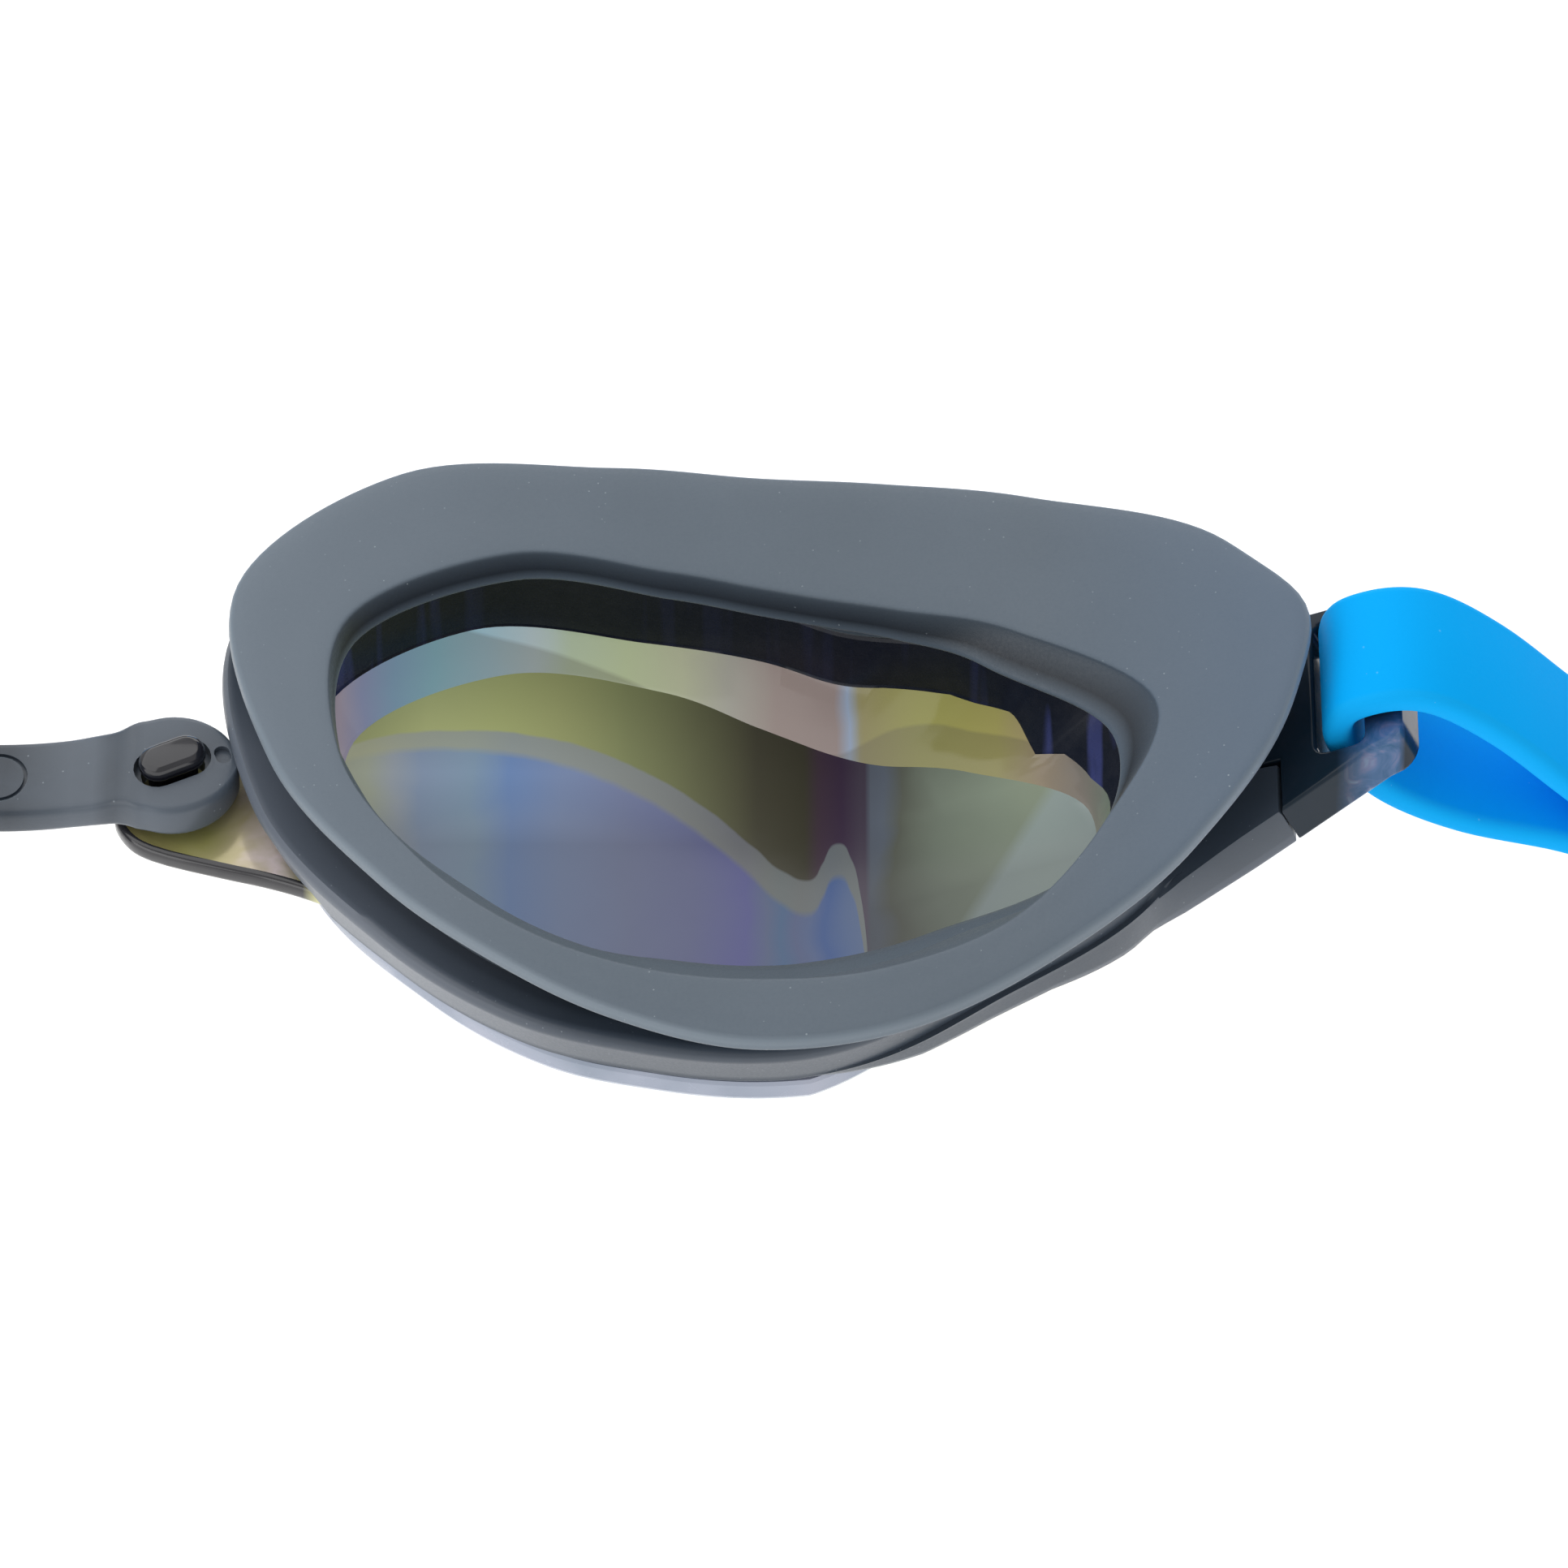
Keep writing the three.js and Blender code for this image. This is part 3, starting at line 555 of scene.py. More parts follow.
def loop_material():
    n = Nodes("loop_plastic")
    tint = n.noise(0.4, 4, distortion=1.4)
    body = n.mix(tint, (14, 36, 48), (36, 44, 56))
    clear = n.ramp(n.noise(0.55, 3, distortion=2.0), [
        (0.3, 52, 98, 140), (0.5, 84, 116, 160), (0.62, 118, 128, 166), (0.8, 146, 180, 206),
    ])
    near = n.span(n.cup_y(), -3.4, -4.6)
    outer = n.times(n.times(n.beyond(71.8, 73.8), n.beyond(75.5, 75.1)), near)
    base = n.tint(body, outer, 0.85, clear)
    n.set(Coat_Weight=0.08, Coat_Roughness=0.05)
    return n.finish(base, n.noise(1.5, 3), -0.6, 5.5, Specular_IOR_Level=0.22)


def bridge_material():
    n = Nodes("bridge_rubber")
    cloud = n.noise(0.35, 4, distortion=0.4)
    base = n.mix(cloud, (36, 44, 53), (62, 72, 84))
    # Painted highlight: paler patches along the band and over the eyelets.
    middle = n.times(n.beyond(0.5, 4.0), n.beyond(6.5, 5.2))
    middle = n.plus(middle, n.beyond(6.0, 8.0))
    base = n.tint(base, middle, 0.5, (100, 110, 122))
    grain = n.noise(6, 3)
    base = n.tint(base, n.specks(1.1, 0.06), 0.35, (160, 170, 178))
    n.bump(grain, 0.15, 0.04)
    n.set(Subsurface_Weight=0.12, Subsurface_Radius=(0.3, 0.35, 0.4), Subsurface_Scale=0.002)
    n.set(Coat_Weight=0.2, Coat_Roughness=0.25)
    return n.finish(base, grain, -0.9, 3.0, Specular_IOR_Level=0.45)


def peg_material():
    n = Nodes("peg_plastic")
    base = n.mix(n.noise(0.8, 3), (16, 16, 22), (32, 32, 40))
    return n.finish(base, n.noise(2, 2), -0.4, 6.0, Coat_Weight=0.5, Coat_Roughness=0.03)


def strap_material():
    n = Nodes("strap_silicone")
    cloud = n.noise(0.08, 3)
    base = n.mix(cloud, (0, 164, 244), (0, 172, 252))
    grain = n.noise(5, 3)
    # Painted highlight: the rim attribute pales the strap along its rounded edges.
    base = n.tint(base, n.attribute("rim"), 0.3, (40, 184, 246))
    base = n.tint(base, n.specks(0.7, 0.05), 0.3, (120, 206, 248))
    n.bump(n.plus(grain, n.noise(13, 2)), 0.15, 0.04)
    return n.finish(base, grain, -1.4, 2.4, Specular_IOR_Level=0.02)


def clip_material():
    n = Nodes("clip_plastic")
    base = n.mix(n.noise(0.3, 4), (42, 48, 54), (58, 64, 70))
    grain = n.noise(4.5, 4, roughness=0.65)
    n.bump(grain, 0.3, 0.05)
    return n.finish(base, grain, -0.8, 2.6)


# ---- Mesh helpers ----


def make_piece(name, points, faces, materials, zones=None, sharp=38.0, values=None):
    """A mesh object from points in mm. zones: a material index a face. values: one number a point."""
    mesh = bpy.data.meshes.new(name)
    placed = np.array(points, float)
    placed[:, 1] += ROW_Y
    mesh.from_pydata((placed * MM).tolist(), [], faces)
    for material in materials:
        mesh.materials.append(material)
    if zones is not None:
        mesh.polygons.foreach_set("material_index", zones)
    if values:
        for key, numbers in values.items():
            layer = mesh.attributes.new(key, "FLOAT", "POINT")
            layer.data.foreach_set("value", np.asarray(numbers, np.float32))
    solid = bmesh.new()
    solid.from_mesh(mesh)
    bmesh.ops.recalc_face_normals(solid, faces=solid.faces)
    solid.to_mesh(mesh)
    solid.free()
    mesh.polygons.foreach_set("use_smooth", [True] * len(mesh.polygons))
    mesh.set_sharp_from_angle(angle=math.radians(sharp))
    mesh.update()
    return add_object(name, mesh)


def spline(points, per, closed):
    """Centripetal Catmull-Rom through points of any shape (count, ...), with per steps for each stretch."""
    points = np.asarray(points, float)
    if closed:
        padded = np.concatenate([points[-1:], points, points[:2]])
    else:
        first = 2 * points[:1] - points[1:2]
        last = 2 * points[-1:] - points[-2:-1]
        padded = np.concatenate([first, points, last])
    made = []
    for k in range(len(padded) - 3):
        p0, p1, p2, p3 = padded[k : k + 4]
        gaps = []
        for a, b in ((p0, p1), (p1, p2), (p2, p3)):
            gap = np.linalg.norm(b - a, axis=-1, keepdims=True) ** 0.5
            gaps.append(np.maximum(gap, 1e-4))
        g0, g1, g2 = gaps
        m1 = (p2 - p1) + g1 * ((p1 - p0) / g0 - (p2 - p0) / (g0 + g1))
        m2 = (p2 - p1) + g1 * ((p3 - p2) / g2 - (p3 - p1) / (g1 + g2))
        for j in range(per):
            f = j / per
            cubic, square = 2 * p1 - 2 * p2 + m1 + m2, 3 * p2 - 3 * p1 - 2 * m1 - m2
            made.append(cubic * f**3 + square * f**2 + m1 * f + p1)
    if not closed:
        made.append(points[-1])
    return np.array(made)


def grid_faces(rows, columns, wrap_rows):
    """Quads over rows of points, each row a closed loop."""
    faces = []
    for j in range(rows if wrap_rows else rows - 1):
        a, b = j * columns, ((j + 1) % rows) * columns
        for i in range(columns):
            k = (i + 1) % columns
            faces.append((a + i, a + k, b + k, b + i))
    return faces


def loft(name, rings, materials, wrap=False, zones=None, values=None, sharp=38.0):
    """A skin over closed rings of equal length. zones and values have one entry for each ring."""
    rings = np.asarray(rings, float)
    rows, columns = rings.shape[:2]
    points = rings.reshape(-1, 3)
    faces = grid_faces(rows, columns, wrap)
    face_zones = None
    if zones is not None:
        face_zones = [zones[j] for j in range(rows if wrap else rows - 1) for _ in range(columns)]
    if not wrap:
        faces.append(tuple(range(columns - 1, -1, -1)))
        faces.append(tuple((rows - 1) * columns + i for i in range(columns)))
        if face_zones is not None:
            face_zones += [zones[0], zones[-1]]
    point_values = {key: np.repeat(numbers, columns) for key, numbers in (values or {}).items()}
    return make_piece(name, points, faces, materials, face_zones, sharp, point_values)


def in_place(x, y, z):
    return (x, y, z)


def block(plan, low, high, place=in_place):
    """A prism to cut with, from its plan."""
    count = len(plan)
    points = [place(x, y, z) for z in (low, high) for x, y in plan]
    faces = [(i, (i + 1) % count, count + (i + 1) % count, count + i) for i in range(count)]
    faces += [tuple(range(count)), tuple(range(count, 2 * count))]
    return make_piece("cutter", points, faces, [])


def cut(obj, cutter):
    """obj without the cutter's volume. The cutter is removed."""
    modifier = obj.modifiers.new("cut", "BOOLEAN")
    modifier.operation = "DIFFERENCE"
    modifier.solver = "EXACT"
    modifier.object = cutter
    bpy.context.view_layer.update()
    graph = bpy.context.evaluated_depsgraph_get()
    evaluated = obj.evaluated_get(graph)
    made = bpy.data.meshes.new_from_object(evaluated, preserve_all_data_layers=True, depsgraph=graph)
    obj.modifiers.remove(modifier)
    old = obj.data
    obj.data = made
    made.name = obj.name
    bpy.data.meshes.remove(old)
    bpy.data.objects.remove(cutter)
    return obj


def finish_piece(obj, body, nodes):
    """Copies obj to the left side too, attaches each copy to its cup's body when body is cup, and hides the
    CAD nodes it stands for.
    """
    twin = obj.copy()
    twin.data = obj.data.copy()
    bpy.context.scene.collection.objects.link(twin)
    twin.name = obj.name.replace("right_", "left_")
    flipped = bmesh.new()
    flipped.from_mesh(twin.data)
    for vertex in flipped.verts:
        vertex.co.x = -vertex.co.x
    bmesh.ops.reverse_faces(flipped, faces=flipped.faces)
    flipped.to_mesh(twin.data)
    flipped.free()
    for side, each in (("right_", obj), ("left_", twin)):
        if body == "cup":
            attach(each, side + "cup")
        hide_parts(*[side + node for node in nodes])
    return obj, twin


# ---- Outlines of a cup ----


def radius_of(radii):
    """An outline's radius at each of ANGLES, on the same uniform Catmull-Rom curve as the CAD outline."""
    turn = np.arange(len(radii)) * 2 * math.pi / len(radii)
    corners = np.stack([np.cos(turn), np.sin(turn)], 1) * np.array(radii)[:, None]
    count, per = len(radii), 120
    dense = []
    for k in range(count):
        p0, p1, p2, p3 = (corners[(k + j - 1) % count] for j in range(4))
        square, cubic = 2 * p0 - 5 * p1 + 4 * p2 - p3, 3 * p1 - p0 - 3 * p2 + p3
        for j in range(per):
            f = j / per
            dense.append(0.5 * (2 * p1 + (p2 - p0) * f + square * f**2 + cubic * f**3))
    dense = np.array(dense)
    angle = np.unwrap(np.arctan2(dense[:, 1], dense[:, 0]))
    radius = np.hypot(dense[:, 0], dense[:, 1])
    return np.interp(ANGLES, angle, radius, period=2 * math.pi)


def lift(x, blend=CREASE_BLEND):
    past = np.asarray(x, float) - CREASE_X
    soft = SIDE_SLOPE * (past + blend) ** 2 / (4 * blend)
    return np.where(past <= -blend, 0, np.where(past >= blend, past * SIDE_SLOPE, soft))


def wall_top(x, y):
    return WALL_HEIGHT + 0.7 * lift(x) + 0.08 * y


def seal_height(x):
    return SEAL_NOSE_HEIGHT + SEAL_TEMPLE_RISE * ((x - CUP_NOSE_X) / CUP_WIDTH) ** 2


def plan_of(radius):
    """x and y of an outline, from its radius at each of ANGLES."""
    return CUP_CENTRE[0] + radius * np.cos(ANGLES), CUP_CENTRE[1] + radius * np.sin(ANGLES)


def ring(radius, height):
    """Points on an outline, at height(x, y)."""
    x, y = plan_of(radius)
    return np.stack([x, y, height(x, y) + 0 * x], 1)


def turn_from(angle):
    """Degrees from an angle near the temple to each of ANGLES."""
    return (np.degrees(ANGLES) + 180) % 360 - (180 + angle)


band = radius_of(BAND)
pane = radius_of(PANE)
blunt_corner = 1.5 * np.exp(-((turn_from(10) / 7.5) ** 2))  # at the seal's temple end
seal_outer = radius_of(SEAL_OUTER) + blunt_corner
seal_opening = radius_of(SEAL_OPENING)
wall_inner = band - WALL_INNER_INSET
wall_outer = band - WALL_OUTER_INSET


# ---- Seal ----


def face(drop):
    return lambda x, y: seal_height(x) - drop


def make_seal(material):
    base = lambda rise: lambda x, y: wall_top(x, y) + FIT_GAP + rise
    share = lambda a, b, s: a + (b - a) * s
    neck = band - 1.9
    part_way = lambda s: lambda x, y: share(wall_top(x, y) + 1.0, seal_height(x) - 2.2, s)
    turn = turn_from(4)
    lip = seal_opening - 0.25 - 2.3 * np.exp(-((turn / np.where(turn < 0, 16, 26)) ** 2))
    # The third value of each step goes to the rim attribute, which is painted light: a painted highlight
    # along the outer edge and the lip, and painted shade (below 0) down the inner roll.
    profile = [
        (wall_inner + 0.5, base(0), 0),
        (band - 0.8, base(0), 0),
        (band - 0.5, base(0.3), 0),
        (band - 0.6, base(0.9), 0),
        (neck + 0.2, base(1.3), 0),
        (neck, base(1.8), 0),
        (share(neck, seal_outer, 0.4), face(2.8), 0),
        (share(neck, seal_outer, 0.8), face(1.6), 0),
        (seal_outer - 0.22, face(1.1), 0.2),
        (seal_outer, face(0.9), 0.3),
        (seal_outer - 0.01, face(0.5), 1),
        (seal_outer - 0.1, face(0.24), 1),
        (seal_outer - 0.35, face(0.1), 0.1),
        (share(seal_outer, seal_opening, 0.3), face(0), 0),
        (share(seal_outer, seal_opening, 0.6), face(0), 0),
        (seal_opening + 0.4, face(0.01), 0),
        (seal_opening + 0.1, face(0.08), 0),
        (seal_opening, face(0.3), -0.5),
        (share(seal_opening, lip, 0.6), face(1.4), -1),
        (lip, face(2.0), 0.1),
        (lip + 0.06, face(2.2), 0.5),
        (lip + 0.35, face(2.3), 0),
        (share(seal_opening, wall_inner, 0.5), part_way(0.4), 0),
        (wall_inner - 0.35, base(0.75), 0),
        (wall_inner - 0.35, base(0.3), 0),
        (wall_inner - 0.1, base(0.05), 0),
    ]
    rings = spline([ring(radius, height) for radius, height, _ in profile], 3, True)
    rim = np.interp(np.arange(len(rings)) / 3, np.arange(len(profile)), [value for _, _, value in profile])
    seal = loft("right_seal_skin", rings, [material], wrap=True, values={"rim": rim}, sharp=70)
    return cut(seal, side_plate_room())


def side_plate_room():
    plan = [(12.0, -13.7), (33.4, -5.3), (33.4, 5.1), (12.0, 5.1)]
    return block(plan, -2.0, SIDE_TOP + 0.25, on_slope)


# ---- Frame ----


def wing_radius():
    """The wing's outline as a radius about the cup's centre at each of ANGLES."""
    corners = wing_corners() - CUP_CENTRE
    reach = np.zeros(AROUND)
    for a, b in zip(corners, np.roll(corners, -1, axis=0)):
        side = b - a
        for i, angle in enumerate(ANGLES):
            ray = np.array([math.cos(angle), math.sin(angle)])
            turn = side[0] * ray[1] - side[1] * ray[0]
            if abs(turn) < 1e-9:
                continue
            distance = (side[0] * a[1] - side[1] * a[0]) / turn
            place = (ray[0] * a[1] - ray[1] * a[0]) / turn
            if distance > 0 and -1e-6 <= place <= 1 + 1e-6:
                reach[i] = max(reach[i], distance)
    return reach


def temple_near_side(radius):
    """1 on the near side from the crease on, where the frame comes down over the front plate's edge."""
    x, y = plan_of(radius)
    return np.clip((x - CREASE_X + 2) / 6, 0, 1) * np.clip((-5 - y) / 2, 0, 1)


def make_frame(material):
    outline = np.maximum(band + 0.3 * temple_near_side(band), wing_radius())
    covered = temple_near_side(outline)
    out = np.clip((outline - band - 0.3) / 0.7, 0, 1)  # 1 where the wing stands past the band
    plate_top = lambda rise: lambda x, y: lift(x) + PLATE_THICKNESS + FIT_GAP + rise
    low = lambda rise: lambda x, y: lift(x) + PLATE_THICKNESS + FIT_GAP - drop + rise
    ledge = lambda rise: lambda x, y: lift(x) + 3.5 + rise
    side = lambda share: lambda x, y: (1 - share) * (lift(x) + 3.6) + share * (wall_top(x, y) + raised)
    past_crease = np.clip((plan_of(outline)[0] - 57) / 4, 0, 1)
    drop = np.maximum(1.65 * out, (0.8 + 0.85 * past_crease) * covered)
    inner = band - 0.78 + 0.85 * out
    flare = np.maximum(radius_of(FLANGE) - band, 0.0) * (1 - out) + 0.15
    raised = np.clip(flare - 0.6, 0, 1)
    # The third value of each step goes to the strip attribute, which is painted light: high along the lower
    # edge for a painted reflection of the floor, small at the flange's top edge for a painted highlight.
    profile = [
        (band - 1.6, plate_top(0), 0.3),
        (inner, plate_top(0), 0.6),
        (inner + 0.04, low(-0.02), 0.9),
        (outline - 0.6 + 0.4 * out, low(0), 0.9),
        (outline - 0.3 + 0.2 * out, low(0.1), 0.9),
        (outline - 0.12 + 0.08 * out, low(0.3), 0.8),
        (outline - 0.04 + 0.08 * flare, low(0.65), 0.6),
        (outline + 0.12 * flare, low(0.85), 0.1),
        (outline + 0.2 * flare, ledge(-0.45), 0),
        (outline - 0.1 * out + 0.36 * flare, ledge(-0.1), 0),
        (outline - 0.7 * out + 0.4 * flare, ledge(0.03 * (1 - out)), 0),
        (band - 0.05 + 0.4 * out + 0.42 * flare, ledge(0.1), 0),
        (band - 0.1 + 0.52 * flare, side(0.13), 0),
        (band - 0.15 + 0.92 * flare, side(0.74), 0),
        (band - 0.15 + flare, side(0.86), 0.1),
        (band - 0.25 + flare, side(0.95), 0.2),
        (band - 0.5 + flare, side(1.0), 0.1),
        (band - 0.9 + flare, side(1.0), 0),
        (band - 0.3, wall_top, 0),
        (band - 1.6, wall_top, 0),
    ]
    rings = np.array([ring(radius, height) for radius, height, _ in profile])
    # The wing's end face is square to the side pane, so it leans back as it rises.
    above = rings[:, :, 2] - lift(rings[:, :, 0]) - (SIDE_BOTTOM + SIDE_TOP) / 2
    at_end = np.clip((rings[:, :, 0] - 62) / 5, 0, 1) * out
    rings[:, :, 0] -= above * math.sin(SIDE_ANGLE) * math.cos(SIDE_ANGLE) * at_end
    rings[:, :, 2] -= above * math.sin(SIDE_ANGLE) ** 2 * at_end
    strip = [value for _, _, value in profile]
    hoop = loft("right_frame_shell", rings, [material], wrap=True, values={"strip": strip}, sharp=42)
    gap = 0.35
    near, far = TONGUE[2] - gap, TONGUE[3] + gap
    tongue_plan = [(15.0, near), (27.0, near), (27.0, far), (15.0, far)]
    cut(hoop, block(tongue_plan, -0.5, SIDE_TOP + gap, on_slope))
    cut(hoop, block(ear_outline(gap), PLATE_THICKNESS, EAR_TOP + gap))
    hoop.data.set_sharp_from_angle(angle=math.radians(42))
    return hoop


# ---- Lens ----


# How far the facet's upper edge stands in from the wall, by angle in degrees from the temple.
FACET_NOTCH = [(-60, 0), (-22, 0.1), (-10, 2.4), (4, 3.6), (12, 3.0), (15, 3.7), (28, 1.1), (42, 0)]


def make_bowl(materials):
    """Bowl with zones: 0 outside face, 1 plate edge, 2 wall, 3 facet, 4 pane."""
    low = lambda rise: lambda x, y: lift(x, PANE_BLEND) + rise
    plate_edge = band - 0.4 - 1.4 * temple_near_side(band)
    # The facet narrows to nothing at the temple end, with a small step.
    facet_edge = wall_inner - np.interp(turn_from(0), *zip(*FACET_NOTCH))
    rings, zones = [], []

    def add(radius, height, zone):
        rings.append(ring(radius, height))
        zones.append(zone)

    shares = np.linspace(0.03, 1, 34)
    for s in shares[:-1]:
        add((plate_edge - 0.4) * s, low(0.0), 0)
    add(plate_edge - 0.4, low(0.0), 1)
    add(plate_edge - 0.12, low(0.1), 1)
    add(plate_edge, low(0.38), 1)
    add(plate_edge, low(PLATE_THICKNESS - 0.25), 1)
    add(plate_edge - 0.1, low(PLATE_THICKNESS), 1)
    add(wall_outer, low(PLATE_THICKNESS), 2)
    add(wall_outer, lambda x, y: wall_top(x, y) - 0.15, 2)
    add(wall_outer - 0.15, wall_top, 2)
    add(wall_inner + 0.15, wall_top, 2)
    add(wall_inner, lambda x, y: wall_top(x, y) - 0.15, 2)
    edge_x = plan_of(facet_edge)[0]
    rise = FACET_HEIGHT + 0.4 * np.exp(-(((edge_x - 45.5) / 6) ** 2))
    rise = rise - 0.8 * np.clip((edge_x - 48) / 5, 0, 1)
    add(facet_edge, low(rise + 0.12), 2)
    add(facet_edge - 0.1, low(rise - 0.02), 3)
    for s in (0.33, 0.66):
        add(facet_edge + (pane - facet_edge) * s, low(rise + (PANE_THICKNESS - rise) * s), 3)
    add(pane + 0.12, low(PANE_THICKNESS + 0.07), 3)
    add(pane - 0.05, low(PANE_THICKNESS), 4)
    for s in shares[::-1][1:]:
        add(pane * s, low(PANE_THICKNESS), 4)
    return loft("right_lens_bowl", rings, materials, zones=zones, sharp=20)


def offset(outline, amount):
    """A closed outline moved inwards by amount (anticlockwise outlines)."""
    points = np.asarray(outline, float)
    ahead = np.roll(points, -1, axis=0) - points
    behind = points - np.roll(points, 1, axis=0)
    normals = []
    for a, b in zip(ahead, behind):
        a = a / max(np.hypot(*a), 1e-9)
        b = b / max(np.hypot(*b), 1e-9)
        na, nb = np.array([-a[1], a[0]]), np.array([-b[1], b[0]])
        middle = na + nb
        normals.append(middle / max(np.dot(middle, na), 0.6))
    return points + np.array(normals) * amount


def slab(name, outline, holes, low, high, radius, materials, place=in_place, side_zone=0):
    """A plate with rounded edges round its outline (anticlockwise) and its holes (clockwise)."""
    turns = [math.pi / 2 * k / 4 for k in range(5)]
    levels = [(radius * (1 - math.sin(t)), low + radius * (1 - math.cos(t))) for t in turns]
    levels += [(radius * (1 - math.cos(t)), high - radius * (1 - math.sin(t))) for t in turns]
    points, faces, low_rims, high_rims = [], [], [], []
    for loop in [outline, *holes]:
        start, count = len(points), len(loop)
        for inwards, z in levels:
            points += [place(x, y, z) for x, y in offset(loop, inwards)]
        faces += [tuple(start + i for i in quad) for quad in grid_faces(len(levels), count, False)]
        low_rims.append(range(start, start + count))
        high_rims.append(range(len(points) - count, len(points)))
    zones = [side_zone] * len(faces)
    for loops in (low_rims, high_rims):
        fill = bmesh.new()
        edges = []
        for loop in loops:
            verts = [fill.verts.new(points[i]) for i in loop]
            for vert in verts:
                vert.normal = (0, 0, 1)
            edges += [fill.edges.new((verts[i], verts[(i + 1) % len(verts)])) for i in range(len(verts))]
        fill.verts.index_update()
        order = [i for loop in loops for i in loop]
        bmesh.ops.triangle_fill(fill, edges=edges, use_beauty=True)
        faces += [tuple(order[v.index] for v in made.verts) for made in fill.faces]
        fill.free()
    zones += [0] * (len(faces) - len(zones))
    plate = make_piece(name, points, faces, materials, zones, sharp=50)
    plate.modifiers.new("flat_faces", "WEIGHTED_NORMAL").keep_sharp = True
    return plate


def arc(cx, cy, radius, start, end, steps):
    turns = [math.radians(start + (end - start) * k / steps) for k in range(steps + 1)]
    return [(cx + radius * math.cos(t), cy + radius * math.sin(t)) for t in turns]


def corner_turns(steps):
    """Points round a rounded rectangle: the signs of each one's corner, and its turn about that corner."""
    for a, b, start in ((1, 1, 0), (-1, 1, 90), (-1, -1, 180), (1, -1, 270)):
        for k in range(steps + 1):
            yield a, b, math.radians(start + 90 * k / steps)


EAR_NEAR = [
    (6.25, -0.97), (6.34, -1.86), (7.15, -3.13), (8.35, -3.9), (12.4, -5.15),
    (14.4, -5.68), (16.4, -6.35), (18.3, -7.2), (20.4, -8.3), (22.6, -9.3),
]


def ear_outline(grow=0.0):
    """Plan of the ear, anticlockwise: near edge, root in the lens wall, far edge and tip."""
    near = spline(EAR_NEAR, 4, False).tolist()
    angles = np.linspace(198, 164, 9)
    middle = np.interp(angles, np.degrees(ANGLES), (wall_inner + wall_outer) / 2)
    root = [arc(*CUP_CENTRE, r, a, a, 1)[0] for a, r in zip(angles, middle)]
    far = [(14.5, 2.9), (12.5, 2.75)]
    tip = arc(PEG_X, -0.2, 3.25 + grow, 82, 176, 12)
    return [(x, y - grow) for x, y in near] + root + [(x, y + grow) for x, y in far] + tip


def make_ear(materials):
    """The ear that carries the peg. Its root ends inside the lens wall, behind the frame."""
    return slab("right_lens_ear", ear_outline(), [], EAR_BOTTOM, EAR_TOP, 0.4, materials, side_zone=1)


def oblong(cx, cy, length, width, turn):
    """A slot shape with round ends, anticlockwise."""
    half, steps = (length - width) / 2, 10
    points = arc(half, 0, width / 2, -90, 90, steps) + arc(-half, 0, width / 2, 90, 270, steps)
    c, s = math.cos(math.radians(turn)), math.sin(math.radians(turn))
    return [(cx + x * c - y * s, cy + x * s + y * c) for x, y in points]


PEG_TURN = 25.0
# Length, width and height of each level of the peg's head.
PEG_HEAD = [
    (3.2, 1.65, 7.36), (3.6, 1.95, 7.46), (3.75, 2.1, 7.66), (3.72, 2.08, 8.0),
    (3.5, 1.86, 8.22), (3.1, 1.46, 8.36), (2.9, 1.26, 8.38),
]


def make_peg(materials):
    """The peg: a neck through the bridge's eyelet and a head with bevelled edges."""
    levels = [(2.8, 1.4, EAR_TOP - 0.4), (2.8, 1.4, 7.3), *PEG_HEAD]
    rings = [[(x, y, z) for x, y in oblong(PEG_X, 0, *size, PEG_TURN)] for *size, z in levels]
    return loft("right_lens_peg", rings, materials, sharp=28)


def make_loop(materials):
    outline = [(LOOP_START, LOOP_NEAR_START + 0.05), (LOOP_END - 1.7, LOOP_NEAR_END - 0.25)]
    outline += arc(LOOP_END - 1.6, LOOP_NEAR_END + 1.4, 1.6, -65, 0, 6)
    outline += arc(LOOP_END - 2.6, LOOP_FAR - 2.6, 2.6, 0, 90, 8)
    outline += [(LOOP_START, LOOP_FAR), (LOOP_START, TONGUE[3]), (TONGUE[0] + 1.2, TONGUE[3])]
    outline += [(TONGUE[0] + 1.2, TONGUE[2]), (LOOP_START, TONGUE[2])]
    s0, s1, near, far = SLOT
    corner = 0.6
    hole = arc(s0 + corner, near + corner, corner, 270, 180, 4)
    hole += arc(s0 + corner, far - corner, corner, 180, 90, 4)
    hole += arc(s1 - corner, far - corner, corner, 90, 0, 4)
    hole += arc(s1 - corner, near + corner, corner, 0, -90, 4)
    return slab("right_lens_loop", outline, [hole], SIDE_BOTTOM, SIDE_TOP, 0.28, materials, place=on_slope)


# ---- Nose bridge ----

BRIDGE_LOW, BRIDGE_HIGH = 5.4, 7.5
BRIDGE_MID = (BRIDGE_LOW + BRIDGE_HIGH) / 2
EYELET_RADIUS = 3.55
# Length and width of the cuts at each eyelet.
HOLE_SIZE, RECESS_SIZE, DIMPLE_SIZE = (3.6, 2.2), (4.35, 2.6), (1.2, 0.85)
DIMPLE_X = 12.2


def bridge_half_width(x):
    """Half the bridge's width: a band that widens smoothly into an eyelet at each end."""
    away = abs(abs(x) - PEG_X)
    eyelet = math.sqrt(max(EYELET_RADIUS**2 - away**2, 0.0))
    strip = (2.5 + 0.15 * smoothstep(abs(x), 3.5, 7.0)) * (1 - smoothstep(abs(x), 7.5, PEG_X))
    return (eyelet**6 + strip**6) ** (1 / 6)


